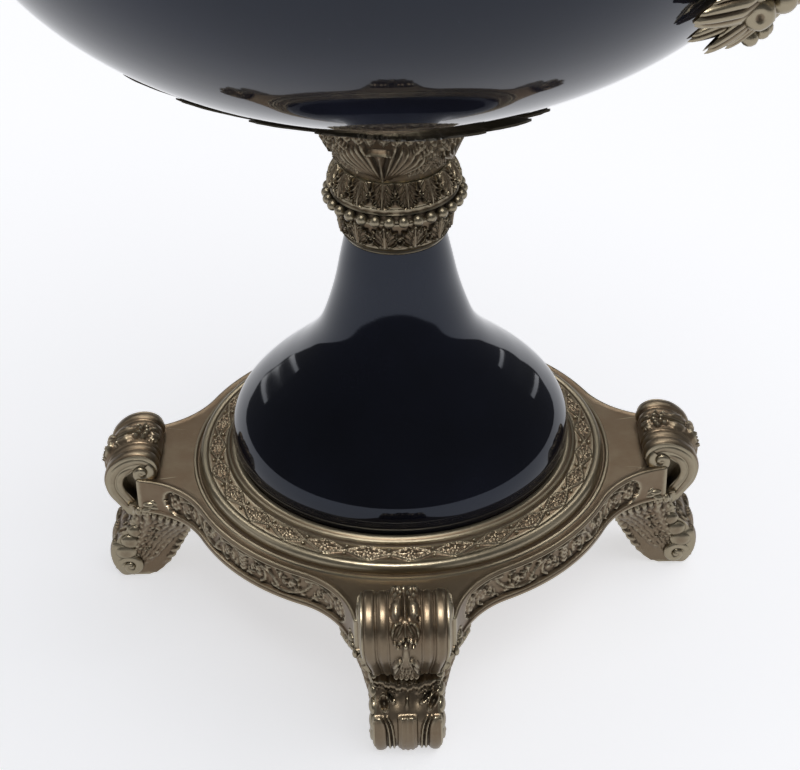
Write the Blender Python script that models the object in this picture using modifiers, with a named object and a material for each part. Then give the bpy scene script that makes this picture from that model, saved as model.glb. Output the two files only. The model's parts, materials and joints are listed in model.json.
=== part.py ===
"""A footed porcelain bowl in antique bronze mounts.

A deep navy porcelain bowl stands on a bronze leaf calyx and neck collar, a hollow porcelain
pedestal and a four-armed bronze plinth with a scroll foot under each arm. Metres, +Z up; the
origin is on the ground in the middle of the feet, and the front foot points along -Y.
"""
import math

import bmesh
import bpy
from mathutils import Matrix, Vector

# --- driving dimensions, in metres -------------------------------------------------------------
GAP = 0.0003                 # clearance between neighbouring pieces
GROUND_TO_PLINTH = 0.0483    # ground to the plinth's underside
PLINTH_THICKNESS = 0.018
PLINTH_TOP = GROUND_TO_PLINTH + PLINTH_THICKNESS

BODY_RADIUS = 0.1072         # round middle of the plinth
ARM_FILLET = 0.0443          # hollow sweep between the round middle and an arm
ARM_FILLET_OUT = 0.136       # how far out along the arm the sweep ends
ARM_LENGTH = 0.130           # axis to the square end of an arm
ARM_WAIST = 0.0225           # half width of an arm where the sweep would end
FILLET_PROUD = 0.0012        # the plinth's lower fillet stands out this far
FILLET_HEIGHT = 0.004

PEDESTAL_WALL = 0.005
PEDESTAL_TOP = PLINTH_TOP + 0.124
# outer side of the pedestal: (radius, height over the plinth), from its neck to its foot
PEDESTAL_OUTLINE = ((0.0235, 0.124), (0.0262, 0.112), (0.0290, 0.099), (0.0325, 0.087),
                    (0.0368, 0.0755), (0.0417, 0.0675), (0.0488, 0.0593), (0.0589, 0.050),
                    (0.0700, 0.040), (0.0783, 0.031), (0.0822, 0.021), (0.0812, 0.0135),
                    (0.0790, 0.0095), (0.0785, GAP))

BOWL_RADIUS = 0.1835
BOWL_DEPTH = 0.1266
BOWL_WALL = 0.006
BOWL_BOTTOM = PLINTH_TOP + 0.2034
BOWL_CENTRE = BOWL_BOTTOM + BOWL_DEPTH
BOWL_LIP = 0.0037            # straight lip over the widest place
FLOOR_RADIUS = 0.024         # flat middle of the bowl, inside and outside
BAND_RISE = 0.0045           # the rim band's height over the lip
BAND_DROP = 0.0100           # how far it reaches down the bowl's outer side
BAND_PROUD = 0.0042          # how far its bead stands out from the bowl

COLLAR_BOTTOM = PEDESTAL_TOP + GAP
COLLAR_TOP = PLINTH_TOP + 0.161
COLLAR_LEAVES = 16
CALYX_BOTTOM = COLLAR_TOP + GAP
CALYX_TOP = BOWL_BOTTOM - GAP
CALYX_SEAT = 0.030           # radius of the seat that carries the bowl
CALYX_TURN = -11.0           # degrees that the calyx is turned from the front
LEAF_COUNT = 4
LONG_LEAF = 0.134            # axis to the tip of the leaves on the left and the right
SHORT_LEAF = 0.099           # and of the two between them
LEAF_VALLEY = 0.052          # axis to the notch between two leaves
LEAF_THICKNESS = 0.0024
LEAF_ROOT = 0.040            # radius at which the cup becomes leaves
LOBE_DEPTH = 0.010           # depth of the notches in a leaf's side
ROOT_CLEARANCE = 0.0130      # from a leaf to the bowl, at the leaf's root
TIP_CLEARANCE = 0.0006       # and at its tip

HANDLE_TURN = 53.0           # degrees from the front to the right-hand handle
HANDLE_ROD = 0.0062          # radius of the scroll rod
HANDLE_TO_BAND = 0.0006      # from the rod's end to the rim band
CLUSTER_DROP = 0.039         # the middle of the leaves and fruit, under the widest place
LOBE_COUNT = 7               # lobes of the leaf under a handle
LOBE_SPREAD = 204.0          # degrees from its first lobe to its last
LOBE_SIZE = (0.0160, 0.0085, 0.0055)
# the fruit on the leaf: (degrees round its middle, distance from it, radius)
FRUIT = ((-75.0, 0.0110, 0.0085), (-10.0, 0.0170, 0.0080), (-155.0, 0.0150, 0.0090),
         (90.0, 0.0050, 0.0105))
FRUIT_RISE = 0.0110          # from the bowl to the middle of a fruit
FOOT_HALF_WIDTH = 0.0205     # at the upper scroll
SHANK_HALF_WIDTH = 0.0158    # below it
WING = 0.0085                # how far the leaf on a foot's side stands out
STRIP = 0.0030               # how far the strip down a foot's front stands out

ROUND = 36                   # facets round a turned piece
BOWL_STEPS = 9               # facets from the rim of the bowl to its middle
LEAF_ROUND = 56              # facets round the leaf calyx


# --- general tools -----------------------------------------------------------------------------
def clear_scene():
    """Remove whatever the opened scene holds."""
    for item in list(bpy.data.objects):
        bpy.data.objects.remove(item, do_unlink=True)


def make_collection(name):
    """Link and return a new collection."""
    collection = bpy.data.collections.new(name)
    bpy.context.scene.collection.children.link(collection)
    return collection


def make_material(name, colour, roughness, metallic, coat=0.0):
    """A Principled material in one colour."""
    material = bpy.data.materials.new(name)
    material.use_nodes = True
    shader = material.node_tree.nodes["Principled BSDF"]
    shader.inputs["Base Color"].default_value = (*colour, 1.0)
    shader.inputs["Roughness"].default_value = roughness
    shader.inputs["Metallic"].default_value = metallic
    shader.inputs["Coat Weight"].default_value = coat
    return material


def add_object(name, mesh, collection, material=None, turn=0.0):
    """Put a mesh in the scene, turned about Z by so many degrees."""
    item = bpy.data.objects.new(name, mesh)
    item.rotation_euler.z = math.radians(turn)
    if material is not None:
        mesh.materials.clear()
        mesh.materials.append(material)
    collection.objects.link(item)
    return item


def bake(item):
    """Return the evaluated mesh of an object, and remove the object."""
    graph = bpy.context.evaluated_depsgraph_get()
    mesh = bpy.data.meshes.new_from_object(item.evaluated_get(graph))
    mesh.transform(item.matrix_world)
    bpy.data.objects.remove(item, do_unlink=True)
    shape = bmesh.new()
    shape.from_mesh(mesh)
    bmesh.ops.remove_doubles(shape, verts=shape.verts, dist=1e-6)
    shape.to_mesh(mesh)
    shape.free()
    return mesh


def smooth(mesh, angle=35.0):
    """Shade a mesh smooth, with its real edges left sharp."""
    mesh.shade_smooth()
    mesh.set_sharp_from_angle(angle=math.radians(angle))


def turned_mesh(profile, steps, collection, closed=False):
    """Turn a profile of (radius, height) points, listed top to bottom on its outer side."""
    mesh = bpy.data.meshes.new("profile")
    edges = [(i, i + 1) for i in range(len(profile) - 1)]
    if closed:
        edges.append((len(profile) - 1, 0))
    mesh.from_pydata([(radius, 0.0, height) for radius, height in profile], edges, [])
    item = add_object("profile", mesh, collection)
    screw = item.modifiers.new("turn", "SCREW")
    screw.steps = steps
    screw.render_steps = steps
    screw.use_merge_vertices = True
    screw.merge_threshold = 1e-5
    screw.use_normal_calculate = False
    bpy.context.view_layer.update()
    return bake(item)


def reshape(mesh, place):
    """Move every point of a mesh: place(radius, azimuth, height) gives its new ones."""
    for vertex in mesh.vertices:
        x, y, z = vertex.co
        radius = math.hypot(x, y)
        azimuth = math.atan2(y, x)
        radius, azimuth, z = place(radius, azimuth, z)
        vertex.co = (radius * math.cos(azimuth), radius * math.sin(azimuth), z)
    mesh.update()


def spline(points, per_span):
    """Points along a Catmull-Rom curve through the given (x, y) points."""
    ends = [points[0], *points, points[-1]]
    curve = []
    for a, b, c, d in zip(ends, ends[1:], ends[2:], ends[3:]):
        for k in range(per_span):
            t = k / per_span
            curve.append(tuple(
                0.5 * (2 * b[i] + (c[i] - a[i]) * t + (2 * a[i] - 5 * b[i] + 4 * c[i] - d[i]) * t * t
                       + (3 * b[i] - a[i] - 3 * c[i] + d[i]) * t ** 3) for i in (0, 1)))
    curve.append(points[-1])
    return curve


def offset(profile, distance):
    """Shift an open outline sideways, to the left of its direction of travel."""
    moved = []
    for i, point in enumerate(profile):
        before = profile[max(i - 1, 0)]
        after = profile[min(i + 1, len(profile) - 1)]
        dx = after[0] - before[0]
        dy = after[1] - before[1]
        length = math.hypot(dx, dy)
        moved.append((point[0] - dy / length * distance, point[1] + dx / length * distance))
    return moved


def blend(value, low, high):
    """Rise smoothly from 0 at low to 1 at high."""
    t = min(max((value - low) / (high - low), 0.0), 1.0)
    return t * t * (3.0 - 2.0 * t)


def boolean(item, other, operation):
    """Join or cut an object with another one."""
    modifier = item.modifiers.new(operation.lower(), "BOOLEAN")
    modifier.operation = operation
    modifier.object = other
    modifier.solver = "EXACT"


def as_cutter(item):
    """Mark an object as a guide that only shapes another one."""
    item.hide_render = True
    item.display_type = "WIRE"


# --- plinth ------------------------------------------------------------------------------------
def arm_side(steps):
    """One swept side of the arm along +X, from the round middle out to the arm's end."""
    centre_y = ARM_WAIST + ARM_FILLET
    start = math.atan2(-centre_y, -ARM_FILLET_OUT)
    end = -math.acos((ARM_LENGTH - ARM_FILLET_OUT) / ARM_FILLET)
    return [(ARM_FILLET_OUT + ARM_FILLET * math.cos(start + (end - start) * i / steps),
             centre_y + ARM_FILLET * math.sin(start + (end - start) * i / steps))
            for i in range(steps + 1)]


def plinth_outline(proud=0.0):
    """The whole outline of the plinth, counter-clockwise, standing proud by so much."""
    side = arm_side(5)
    corner = math.atan2(side[0][1], side[0][0])
    middle_steps = 6
    quarter = [(x, -y) for x, y in side] + list(reversed(side))
    quarter += [(BODY_RADIUS * math.cos(corner + (math.pi / 2 - 2 * corner) * i / middle_steps),
                 BODY_RADIUS * math.sin(corner + (math.pi / 2 - 2 * corner) * i / middle_steps))
                for i in range(1, middle_steps)]
    outline = []
    for turn in range(4):
        angle = turn * math.pi / 2
        c, s = math.cos(angle), math.sin(angle)
        outline += [(x * c - y * s, x * s + y * c) for x, y in quarter]
    if proud == 0.0:
        return outline
    moved = []
    count = len(outline)
    for i, (x, y) in enumerate(outline):
        before, after = outline[i - 1], outline[(i + 1) % count]
        dx, dy = after[0] - before[0], after[1] - before[1]
        length = math.hypot(dx, dy)
        step = 0.0 if max(abs(x), abs(y)) > ARM_LENGTH - 1e-6 else proud
        moved.append((x + dy / length * step, y - dx / length * step))
    return moved


def slab(outline, bottom, top, collection):
    """A flat plate with the given outline."""
    curve = bpy.data.curves.new("plate", "CURVE")
    curve.dimensions = "2D"
    curve.fill_mode = "BOTH"
    curve.extrude = (top - bottom) / 2
    line = curve.splines.new("POLY")
    line.points.add(len(outline) - 1)
    for point, (x, y) in zip(line.points, outline):
        point.co = (x, y, 0.0, 1.0)
    line.use_cyclic_u = True
    item = bpy.data.objects.new("plate", curve)
    item.location.z = (top + bottom) / 2
    collection.objects.link(item)
    bpy.context.view_layer.update()
    return add_object("plate", bake(item), collection)


def ring_profile():
    """The turned ring round the pedestal's foot, as (radius, height), outer side first."""
    heights = ((0.0797, 0.0062), (0.0815, 0.0090), (0.0840, 0.0080), (0.0862, 0.0060),
               (0.0952, 0.0047), (0.0975, 0.0052), (0.0996, 0.0030), (0.1000, -0.0020))
    outer = [(radius, PLINTH_TOP + height) for radius, height in heights]
    return outer + [(0.0797, PLINTH_TOP - 0.0020)]


def build_plinth(parts, guides, material):
    """The four-armed plinth with its lower fillet and its turned ring."""
    plate = slab(plinth_outline(), GROUND_TO_PLINTH + FILLET_HEIGHT / 2, PLINTH_TOP, parts)
    plate.name = "plinth"
    plate.data.materials.append(material)
    fillet = slab(plinth_outline(FILLET_PROUD), GROUND_TO_PLINTH,
                  GROUND_TO_PLINTH + FILLET_HEIGHT, guides)
    ring = add_object("ring", turned_mesh(ring_profile(), ROUND, guides, closed=True), guides)
    for guide in (fillet, ring):
        as_cutter(guide)
        boolean(plate, guide, "UNION")
    smooth(plate.data)


# --- pedestal, collar, calyx -------------------------------------------------------------------
def build_pedestal(parts, material):
    """The hollow porcelain pedestal, open below and at its neck."""
    outer = [(radius, PLINTH_TOP + height) for radius, height in PEDESTAL_OUTLINE]
    inner = offset(outer, -PEDESTAL_WALL)
    inner[0] = (outer[0][0] - PEDESTAL_WALL, outer[0][1])
    inner[-1] = (outer[-1][0] - PEDESTAL_WALL, outer[-1][1])
    inner = [inner[0], *inner[2:-2:2], inner[-1]]
    mesh = turned_mesh(outer + list(reversed(inner)), ROUND, parts, closed=True)
    smooth(mesh)
    add_object("pedestal", mesh, parts, material)


def collar_profile():
    """Outer side of the neck collar, from its waist down to its thin rim."""
    shape = ((0.0000, 0.1610), (0.0249, 0.1610), (0.0268, 0.1575), (0.0290, 0.1530),
             (0.0288, 0.1490), (0.0313, 0.1475), (0.0320, 0.1450), (0.0300, 0.1425),
             (0.0265, 0.1400), (0.0246, 0.1295), (0.0245, 0.1243), (0.0000, 0.1243))
    return [(radius, PLINTH_TOP + height) for radius, height in shape]


def build_collar(parts, material):
    """The neck collar: hanging leaves over a bead ring and a band of small upright leaves."""
    leaf_low = PLINTH_TOP + 0.1500
    leaf_high = PLINTH_TOP + 0.1600
    band_low = PLINTH_TOP + 0.1290
    band_high = PLINTH_TOP + 0.1420

    def place(radius, azimuth, height):
        if leaf_low < height < leaf_high:
            radius += 0.0008 * math.cos(COLLAR_LEAVES * azimuth)
        elif band_low < height < band_high:
            radius += 0.0005 * math.cos(COLLAR_LEAVES * azimuth)
        return radius, azimuth, height

    mesh = turned_mesh(collar_profile(), 2 * COLLAR_LEAVES, parts)
    reshape(mesh, place)
    smooth(mesh)
    add_object("neck_collar", mesh, parts, material, CALYX_TURN)


def leaf_reach(azimuth):
    """How far out the leaves reach in a direction, with their lobes."""
    step = 2 * math.pi / LEAF_COUNT
    away = abs((azimuth + step / 2) % step - step / 2)
    share = away / (step / 2)
    length = SHORT_LEAF + (LONG_LEAF - SHORT_LEAF) * math.sin(azimuth) ** 2
    body = LEAF_VALLEY + (length - LEAF_VALLEY) * (1.0 - share ** 1.5)
    return body - LOBE_DEPTH * share * (0.5 - 0.5 * math.cos(6 * math.pi * share))


def leaf_height(radius):
    """Height of the leaves' underside, which draws closer to the bowl towards the tips."""
    bowl = BOWL_CENTRE - BOWL_DEPTH * math.sqrt(1.0 - (radius / BOWL_RADIUS) ** 2)
    share = min((radius - LEAF_ROOT) / (LONG_LEAF - LEAF_ROOT), 1.0)
    clearance = TIP_CLEARANCE + (ROOT_CLEARANCE - TIP_CLEARANCE) * (1.0 - share) ** 2
    return bowl - LEAF_THICKNESS - clearance


def build_calyx(parts, material):
    """The open calyx: a cup with four broad leaves that follow the bowl's underside."""
    span = LONG_LEAF - LEAF_ROOT
    radii = [LEAF_ROOT + span * i / 3 for i in range(4)]
    top = [(0.0, CALYX_TOP), (CALYX_SEAT, CALYX_TOP), (0.036, PLINTH_TOP + 0.1965)]
    top += [(radius, leaf_height(radius) + LEAF_THICKNESS) for radius in radii]
    under = [(radius, leaf_height(radius)) for radius in reversed(radii)]
    cup = ((0.0335, 0.1820), (0.0275, 0.1680), (0.0248, 0.1613))
    under += [(radius, PLINTH_TOP + height) for radius, height in cup]
    profile = top + under + [(0.0, CALYX_BOTTOM)]

    def place(radius, azimuth, height):
        if radius <= LEAF_ROOT + 1e-4:
            return radius, azimuth, height
        above = height - leaf_height(radius)
        radius = LEAF_ROOT + (radius - LEAF_ROOT) * (leaf_reach(azimuth) - LEAF_ROOT) / span
        return radius, azimuth, leaf_height(radius) + above

    mesh = turned_mesh(profile, LEAF_ROUND, parts)
    reshape(mesh, place)
    smooth(mesh)
    add_object("leaf_calyx", mesh, parts, material, CALYX_TURN - 45.0)


# --- bowl --------------------------------------------------------------------------------------
def bowl_arc(radius, depth, steps):
    """Half an ellipse from the rim down to the flat middle of the bowl."""
    last = math.asin(FLOOR_RADIUS / radius)
    points = []
    for i in range(steps + 1):
        angle = math.pi / 2 + (last - math.pi / 2) * i / steps
        points.append((radius * math.sin(angle), BOWL_CENTRE - depth * math.cos(angle)))
    floor = BOWL_CENTRE - depth
    points[-1] = (FLOOR_RADIUS, floor)
    return points + [(0.0, floor)]


def build_bowl(parts, material):
    """The porcelain bowl, open above."""
    lip = BOWL_CENTRE + BOWL_LIP
    outer = [(BOWL_RADIUS, lip)] + bowl_arc(BOWL_RADIUS, BOWL_DEPTH, BOWL_STEPS)
    inner = [(BOWL_RADIUS - BOWL_WALL, lip)]
    inner += bowl_arc(BOWL_RADIUS - BOWL_WALL, BOWL_DEPTH - BOWL_WALL, 7)
    mesh = turned_mesh(list(reversed(inner)) + outer, ROUND, parts)
    smooth(mesh)
    add_object("bowl", mesh, parts, material)


def build_rim(parts, material):
    """The plain bronze band that caps the lip of the bowl."""
    lip = BOWL_CENTRE + BOWL_LIP + GAP
    wall = BOWL_RADIUS + GAP
    inside = BOWL_RADIUS - BOWL_WALL - 0.001
    bead = wall + BAND_PROUD
    foot = lip - BAND_DROP
    shape = [(inside, lip), (inside + 0.0020, lip + BAND_RISE), (wall, lip + BAND_RISE),
             (bead, lip + 0.0010), (bead, lip - 0.0045), (wall + 0.0012, foot), (wall, foot),
             (wall, lip)]
    mesh = turned_mesh(shape, ROUND, parts, closed=True)
    smooth(mesh)
    add_object("rim_band", mesh, parts, material)


# --- handles -----------------------------------------------------------------------------------
def bowl_radius_at(height):
    """Outer radius of the bowl at a height over the ground."""
    share = min(max((BOWL_CENTRE - height) / BOWL_DEPTH, 0.0), 1.0)
    return BOWL_RADIUS * math.sqrt(1.0 - share * share)


def rod(points, radius, collection):
    """A round rod along a smooth path in the XZ plane."""
    curve = bpy.data.curves.new("rod", "CURVE")
    curve.dimensions = "3D"
    curve.bevel_depth = radius
    curve.bevel_resolution = 1
    curve.use_fill_caps = True
    path = spline(points, 2)
    line = curve.splines.new("POLY")
    line.points.add(len(path) - 1)
    for point, (x, z) in zip(line.points, path):
        point.co = (x, 0.0, z, 1.0)
    item = bpy.data.objects.new("rod", curve)
    collection.objects.link(item)
    bpy.context.view_layer.update()
    return add_object("rod", bake(item), collection)


def surface_frame(point, heading):
    """Axes on the bowl's side under a point: along it towards heading, sideways, and out."""
    middle = Vector((0.0, 0.0, BOWL_CENTRE))
    scale = Vector((1 / BOWL_RADIUS, 1 / BOWL_RADIUS, 1 / BOWL_DEPTH))
    spot = (point - middle) / ((point - middle) * scale).length
    out = (spot * scale * scale).normalized()
    along = (heading - out * heading.dot(out)).normalized()
    frame = Matrix((along, out.cross(along), out)).transposed().to_4x4()
    frame.translation = middle + spot
    return frame


def lump(frame, angle, distance, rise, size, collection):
    """A rounded lump on the bowl's side: a fruit, or a lobe of leaf that points along angle."""
    shape = bmesh.new()
    bmesh.ops.create_uvsphere(shape, u_segments=6, v_segments=4, radius=1.0)
    bmesh.ops.rotate(shape, verts=shape.verts, matrix=Matrix.Rotation(angle + 0.3, 3, "X"))
    turned = frame @ Matrix.Rotation(math.radians(angle), 4, "Z")
    ahead = turned @ Vector((distance, 0.0, 0.0))
    place = surface_frame(ahead, turned.to_3x3() @ Vector((1.0, 0.0, 0.0)))
    place = place @ Matrix.Translation((0.0, 0.0, rise)) @ Matrix.Diagonal((*size, 1.0))
    bmesh.ops.transform(shape, matrix=place, verts=shape.verts)
    bmesh.ops.recalc_face_normals(shape, faces=shape.faces)
    mesh = bpy.data.meshes.new("lump")
    shape.to_mesh(mesh)
    shape.free()
    return add_object("lump", mesh, collection)


def cluster(collection):
    """The lobes of a spreading leaf and the fruit on it, for a handle that points along +X."""
    height = BOWL_CENTRE - CLUSTER_DROP
    frame = surface_frame(Vector((bowl_radius_at(height), 0.0, height)), Vector((0.0, 1.0, 0.0)))
    pieces = [lump(frame, 90.0, 0.0, 0.0010, (0.0300, 0.0280, 0.0090), collection)]
    for i in range(LOBE_COUNT):
        angle = LOBE_SPREAD / 2 - 90.0 - LOBE_SPREAD * i / (LOBE_COUNT - 1)
        reach = 0.0250 + 0.0070 * abs(math.cos(math.radians(angle)))
        pieces.append(lump(frame, angle, reach, 0.0035, LOBE_SIZE, collection))
    for angle, distance, size in FRUIT:
        pieces.append(lump(frame, angle, distance, FRUIT_RISE, (size, size, size), collection))
    return pieces


def build_handles(parts, guides, material):
    """Two scroll handles that rise out of a bunch of leaves and fruit on the bowl's side."""
    root = BOWL_CENTRE - CLUSTER_DROP - 0.002
    lip = BOWL_CENTRE + BOWL_LIP
    path = ((bowl_radius_at(root) + 0.006, root), (0.2030, BOWL_CENTRE - 0.0360),
            (0.2160, BOWL_CENTRE - 0.0280), (0.2230, BOWL_CENTRE - 0.0110),
            (0.2185, BOWL_CENTRE + 0.0070), (0.2065, BOWL_CENTRE + 0.0130),
            (0.1955, lip + 0.0005), (BOWL_RADIUS + 0.009, lip - 0.003))
    item = rod(path, HANDLE_ROD, guides)
    pieces = cluster(guides)
    spread = 1.0 / math.cos(math.pi / ROUND)
    arc = [(radius * spread + GAP, height - GAP)
           for radius, height in bowl_arc(BOWL_RADIUS, BOWL_DEPTH, BOWL_STEPS)[:-1]]
    top = BOWL_CENTRE + 0.050
    round_bowl = [(0.0, top), (arc[0][0], top), *arc, (0.0, BOWL_BOTTOM - GAP)]
    band = (BOWL_RADIUS + BAND_PROUD + HANDLE_TO_BAND) * spread
    over = lip + 0.020
    under = lip - BAND_DROP - 0.002
    round_rim = [(0.0, over), (band, over), (band, under), (0.0, under)]
    cutters = [add_object("clearance", turned_mesh(profile, ROUND, guides), guides)
               for profile in (round_bowl, round_rim)]
    for piece in pieces:
        boolean(item, piece, "UNION")
    for cutter in cutters:
        boolean(item, cutter, "DIFFERENCE")
    bpy.context.view_layer.update()
    mesh = bake(item)
    for guide in (*pieces, *cutters):
        bpy.data.objects.remove(guide, do_unlink=True)
    smooth(mesh)
    add_object("handle_right", mesh, parts, material, HANDLE_TURN - 90.0)
    add_object("handle_left", mesh, parts, material, HANDLE_TURN + 90.0)


# --- feet --------------------------------------------------------------------------------------
def foot_outline():
    """Side view of a foot as (distance from the axis, height), for the foot along +X.

    It runs over the upper scroll, down the front, under the foot's pad and up its back, then
    round the end of the plinth's arm.
    """
    top = PLINTH_TOP
    front = ((0.1180, GAP), (0.1176, 0.0035), (0.1198, 0.0080), (0.1245, 0.0108),
             (0.1300, 0.0111), (0.1358, 0.0086), (0.1412, 0.0040), (0.1434, -0.0030),
             (0.1422, -0.0100), (0.1392, -0.0165), (0.1356, -0.0235), (0.1357, -0.0300),
             (0.1388, -0.0355), (0.1432, -0.0405), (0.1470, -0.0465), (0.1482, -0.0535),
             (0.1466, -0.0600), (0.1432, -0.0645))
    back = ((0.1235, -0.0635), (0.1196, -0.0590), (0.1155, -0.0520), (0.1110, -0.0435),
            (0.1070, -0.0350), (0.1045, -0.0270))
    outline = [(x, top + z) for x, z in front]
    outline += [(0.1390, 0.0), (0.1275, 0.0)]
    outline += [(x, top + z) for x, z in back]
    under = GROUND_TO_PLINTH - GAP
    return outline + [(0.1040, under), (ARM_LENGTH + GAP, under), (ARM_LENGTH + GAP, top + GAP)]


def foot_half_width(distance, height):
    """Half the width of a foot at a place in its side view."""
    rise = height - PLINTH_TOP
    width = SHANK_HALF_WIDTH
    width += (FOOT_HALF_WIDTH - SHANK_HALF_WIDTH) * blend(rise, -0.034, 0.000)
    wing = blend(rise, -0.036, -0.020) * blend(distance, 0.132, 0.112) * blend(rise, 0.0, -0.015)
    return width + WING * wing


def build_feet(parts, material):
    """Four scroll feet: the side view lofted across the foot, with a raised middle strip."""
    outline = foot_outline()
    pad = {i for i, (_, z) in enumerate(outline) if z == 0.0}
    front = range(2, 17)
    sections = ((-1.0, -0.0010), (-0.93, 0.0), (-0.42, 0.0), (-0.36, STRIP), (0.36, STRIP),
                (0.42, 0.0), (0.93, 0.0), (1.0, -0.0010))
    shape = bmesh.new()
    rows = []
    for share, proud in sections:
        moved = offset(outline, proud)
        row = []
        for i, (x, z) in enumerate(outline):
            if i in front and i not in pad:
                x, z = moved[i]
            row.append(shape.verts.new((x, share * foot_half_width(*outline[i]), z)))
        rows.append(row)
    count = len(outline)
    for low, high in zip(rows, rows[1:]):
        for i in range(count):
            j = (i + 1) % count
            shape.faces.new((low[i], low[j], high[j], high[i]))
    shape.faces.new(list(reversed(rows[0])))
    shape.faces.new(rows[-1])
    bmesh.ops.triangulate(shape, faces=shape.faces, ngon_method="EAR_CLIP")
    bmesh.ops.recalc_face_normals(shape, faces=shape.faces)
    mesh = bpy.data.meshes.new("foot")
    shape.to_mesh(mesh)
    shape.free()
    smooth(mesh)
    for name, turn in (("front", -90.0), ("right", 0.0), ("back", 90.0), ("left", 180.0)):
        add_object("foot_" + name, mesh, parts, material, turn)


def main():
    """Build the whole object."""
    clear_scene()
    parts = make_collection("porcelain_bowl")
    guides = make_collection("guides")
    porcelain = make_material("navy_porcelain", (0.006, 0.008, 0.016), 0.08, 0.0, 1.0)
    bronze = make_material("antique_bronze", (0.30, 0.24, 0.14), 0.36, 1.0)
    build_plinth(parts, guides, bronze)
    build_pedestal(parts, porcelain)
    build_collar(parts, bronze)
    build_calyx(parts, bronze)
    build_bowl(parts, porcelain)
    build_rim(parts, bronze)
    build_handles(parts, guides, bronze)
    build_feet(parts, bronze)


main()
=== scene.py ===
"""Looks of a footed porcelain bowl in cast and gilded bronze mounts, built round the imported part.

A navy glazed bowl stands on a leaf calyx, a neck collar, a glazed pedestal and a four-armed
bronze plinth with a scroll foot under each arm. +Z is up and the front foot points along -Y.
Sizes are metres and angles degrees where nothing else is said; carvings are in millimetres.
"""

import json
import logging
import math
from dataclasses import dataclass
from enum import Enum
from typing import Callable, Iterable, Sequence

import bmesh
import bpy
import numpy as np
from mathutils import Matrix, Vector
from mathutils.bvhtree import BVHTree


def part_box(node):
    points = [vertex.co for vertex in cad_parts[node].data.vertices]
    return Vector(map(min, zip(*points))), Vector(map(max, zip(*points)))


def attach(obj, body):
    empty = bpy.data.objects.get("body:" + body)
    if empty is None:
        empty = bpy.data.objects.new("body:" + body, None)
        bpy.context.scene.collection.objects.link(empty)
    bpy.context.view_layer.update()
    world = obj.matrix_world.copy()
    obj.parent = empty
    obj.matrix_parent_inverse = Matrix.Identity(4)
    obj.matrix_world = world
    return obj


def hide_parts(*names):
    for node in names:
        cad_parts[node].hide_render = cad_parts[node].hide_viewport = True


LOG = logging.getLogger("porcelain_bowl")
MM = 0.001
TAU = 2.0 * math.pi
GOLDEN_ANGLE = 2.39996
UNSHADING = ("leaf_calyx", "rim_band")  # the bronze high up, which casts no shade on the rest
Colour = tuple[float, float, float]


class Slot(Enum):
    """Material slots of the record."""

    BRONZE = "bronze"
    PORCELAIN = "porcelain"


# --- curves and maps ---
def spline(points: Sequence[Sequence[float]], per_span: int) -> np.ndarray:
    """Run a smooth curve through points.

    Args:
        points: the points to pass through, of any dimension.
        per_span: steps between two neighbouring points.

    Returns:
        The curve's points, the last given point included.
    """
    p = np.asarray(points, float)
    p = np.vstack([2 * p[0] - p[1], p, 2 * p[-1] - p[-2]])
    t = np.arange(per_span)[:, None] / per_span
    spans = []
    for a, b, c, d in zip(p, p[1:], p[2:], p[3:]):
        spans.append(0.5 * (2 * b + (c - a) * t + (2 * a - 5 * b + 4 * c - d) * t ** 2
                            + (3 * b - a - 3 * c + d) * t ** 3))
    return np.vstack([*spans, p[-2:-1]])


def lengths(path: np.ndarray) -> np.ndarray:
    """Distance run along a path at each of its points."""
    return np.concatenate([[0.0], np.cumsum(np.linalg.norm(np.diff(path, axis=0), axis=1))])


def resample(path: np.ndarray, stations: np.ndarray) -> np.ndarray:
    """Points of a path at given distances along it."""
    run = lengths(path)
    return np.stack([np.interp(stations, run, path[:, k]) for k in range(path.shape[1])], axis=1)


def arc(centre: tuple[float, float], radius: float, angle: np.ndarray) -> np.ndarray:
    """Points of an arc at given angles in radians."""
    return np.stack([centre[0] + radius * np.cos(angle), centre[1] + radius * np.sin(angle)], 1)


def ease(value: np.ndarray | float, low: float, high: float) -> np.ndarray:
    """Rise smoothly from 0 at low to 1 at high."""
    t = np.clip((np.asarray(value, float) - low) / (high - low), 0.0, 1.0)
    return t * t * (3.0 - 2.0 * t)


def ridge(value: np.ndarray, centre: float, half: float, flat: float = 2.0) -> np.ndarray:
    """A rounded rib of height 1 and the given half width, flatter on top for a higher flat."""
    return np.sqrt(np.clip(1.0 - np.abs((value - centre) / half) ** flat, 0.0, 1.0))


def swell(value: np.ndarray, centre: float, half: float) -> np.ndarray:
    """A soft bell of height 1 and the given half width at its foot."""
    return np.cos(np.clip((value - centre) / half, -1.0, 1.0) * math.pi / 2) ** 2


def unit(vectors: np.ndarray) -> np.ndarray:
    """Scale vectors to length 1."""
    return vectors / np.maximum(np.linalg.norm(vectors, axis=-1, keepdims=True), 1e-12)


def leftward(line: np.ndarray) -> np.ndarray:
    """Unit directions to the left of a flat line, at each of its points."""
    way = unit(np.gradient(line, axis=0))
    return np.stack([-way[:, 1], way[:, 0]], 1)


def spun(radius: np.ndarray | float, angle: np.ndarray | float,
         height: np.ndarray | float) -> np.ndarray:
    """Points at given radii, azimuths in radians and heights."""
    r, turn, z = np.broadcast_arrays(radius, angle, height)
    return np.stack([r * np.cos(turn), r * np.sin(turn), z], -1)


def turned_about_axis(points: np.ndarray, angle: float) -> np.ndarray:
    """Turn points about the vertical axis.

    Args:
        points: the points, array (..., 3).
        angle: radians.

    Returns:
        The turned points.
    """
    c, s = math.cos(angle), math.sin(angle)
    turned = np.array(points, float)
    turned[..., 0] = points[..., 0] * c - points[..., 1] * s
    turned[..., 1] = points[..., 0] * s + points[..., 1] * c
    return turned


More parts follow.
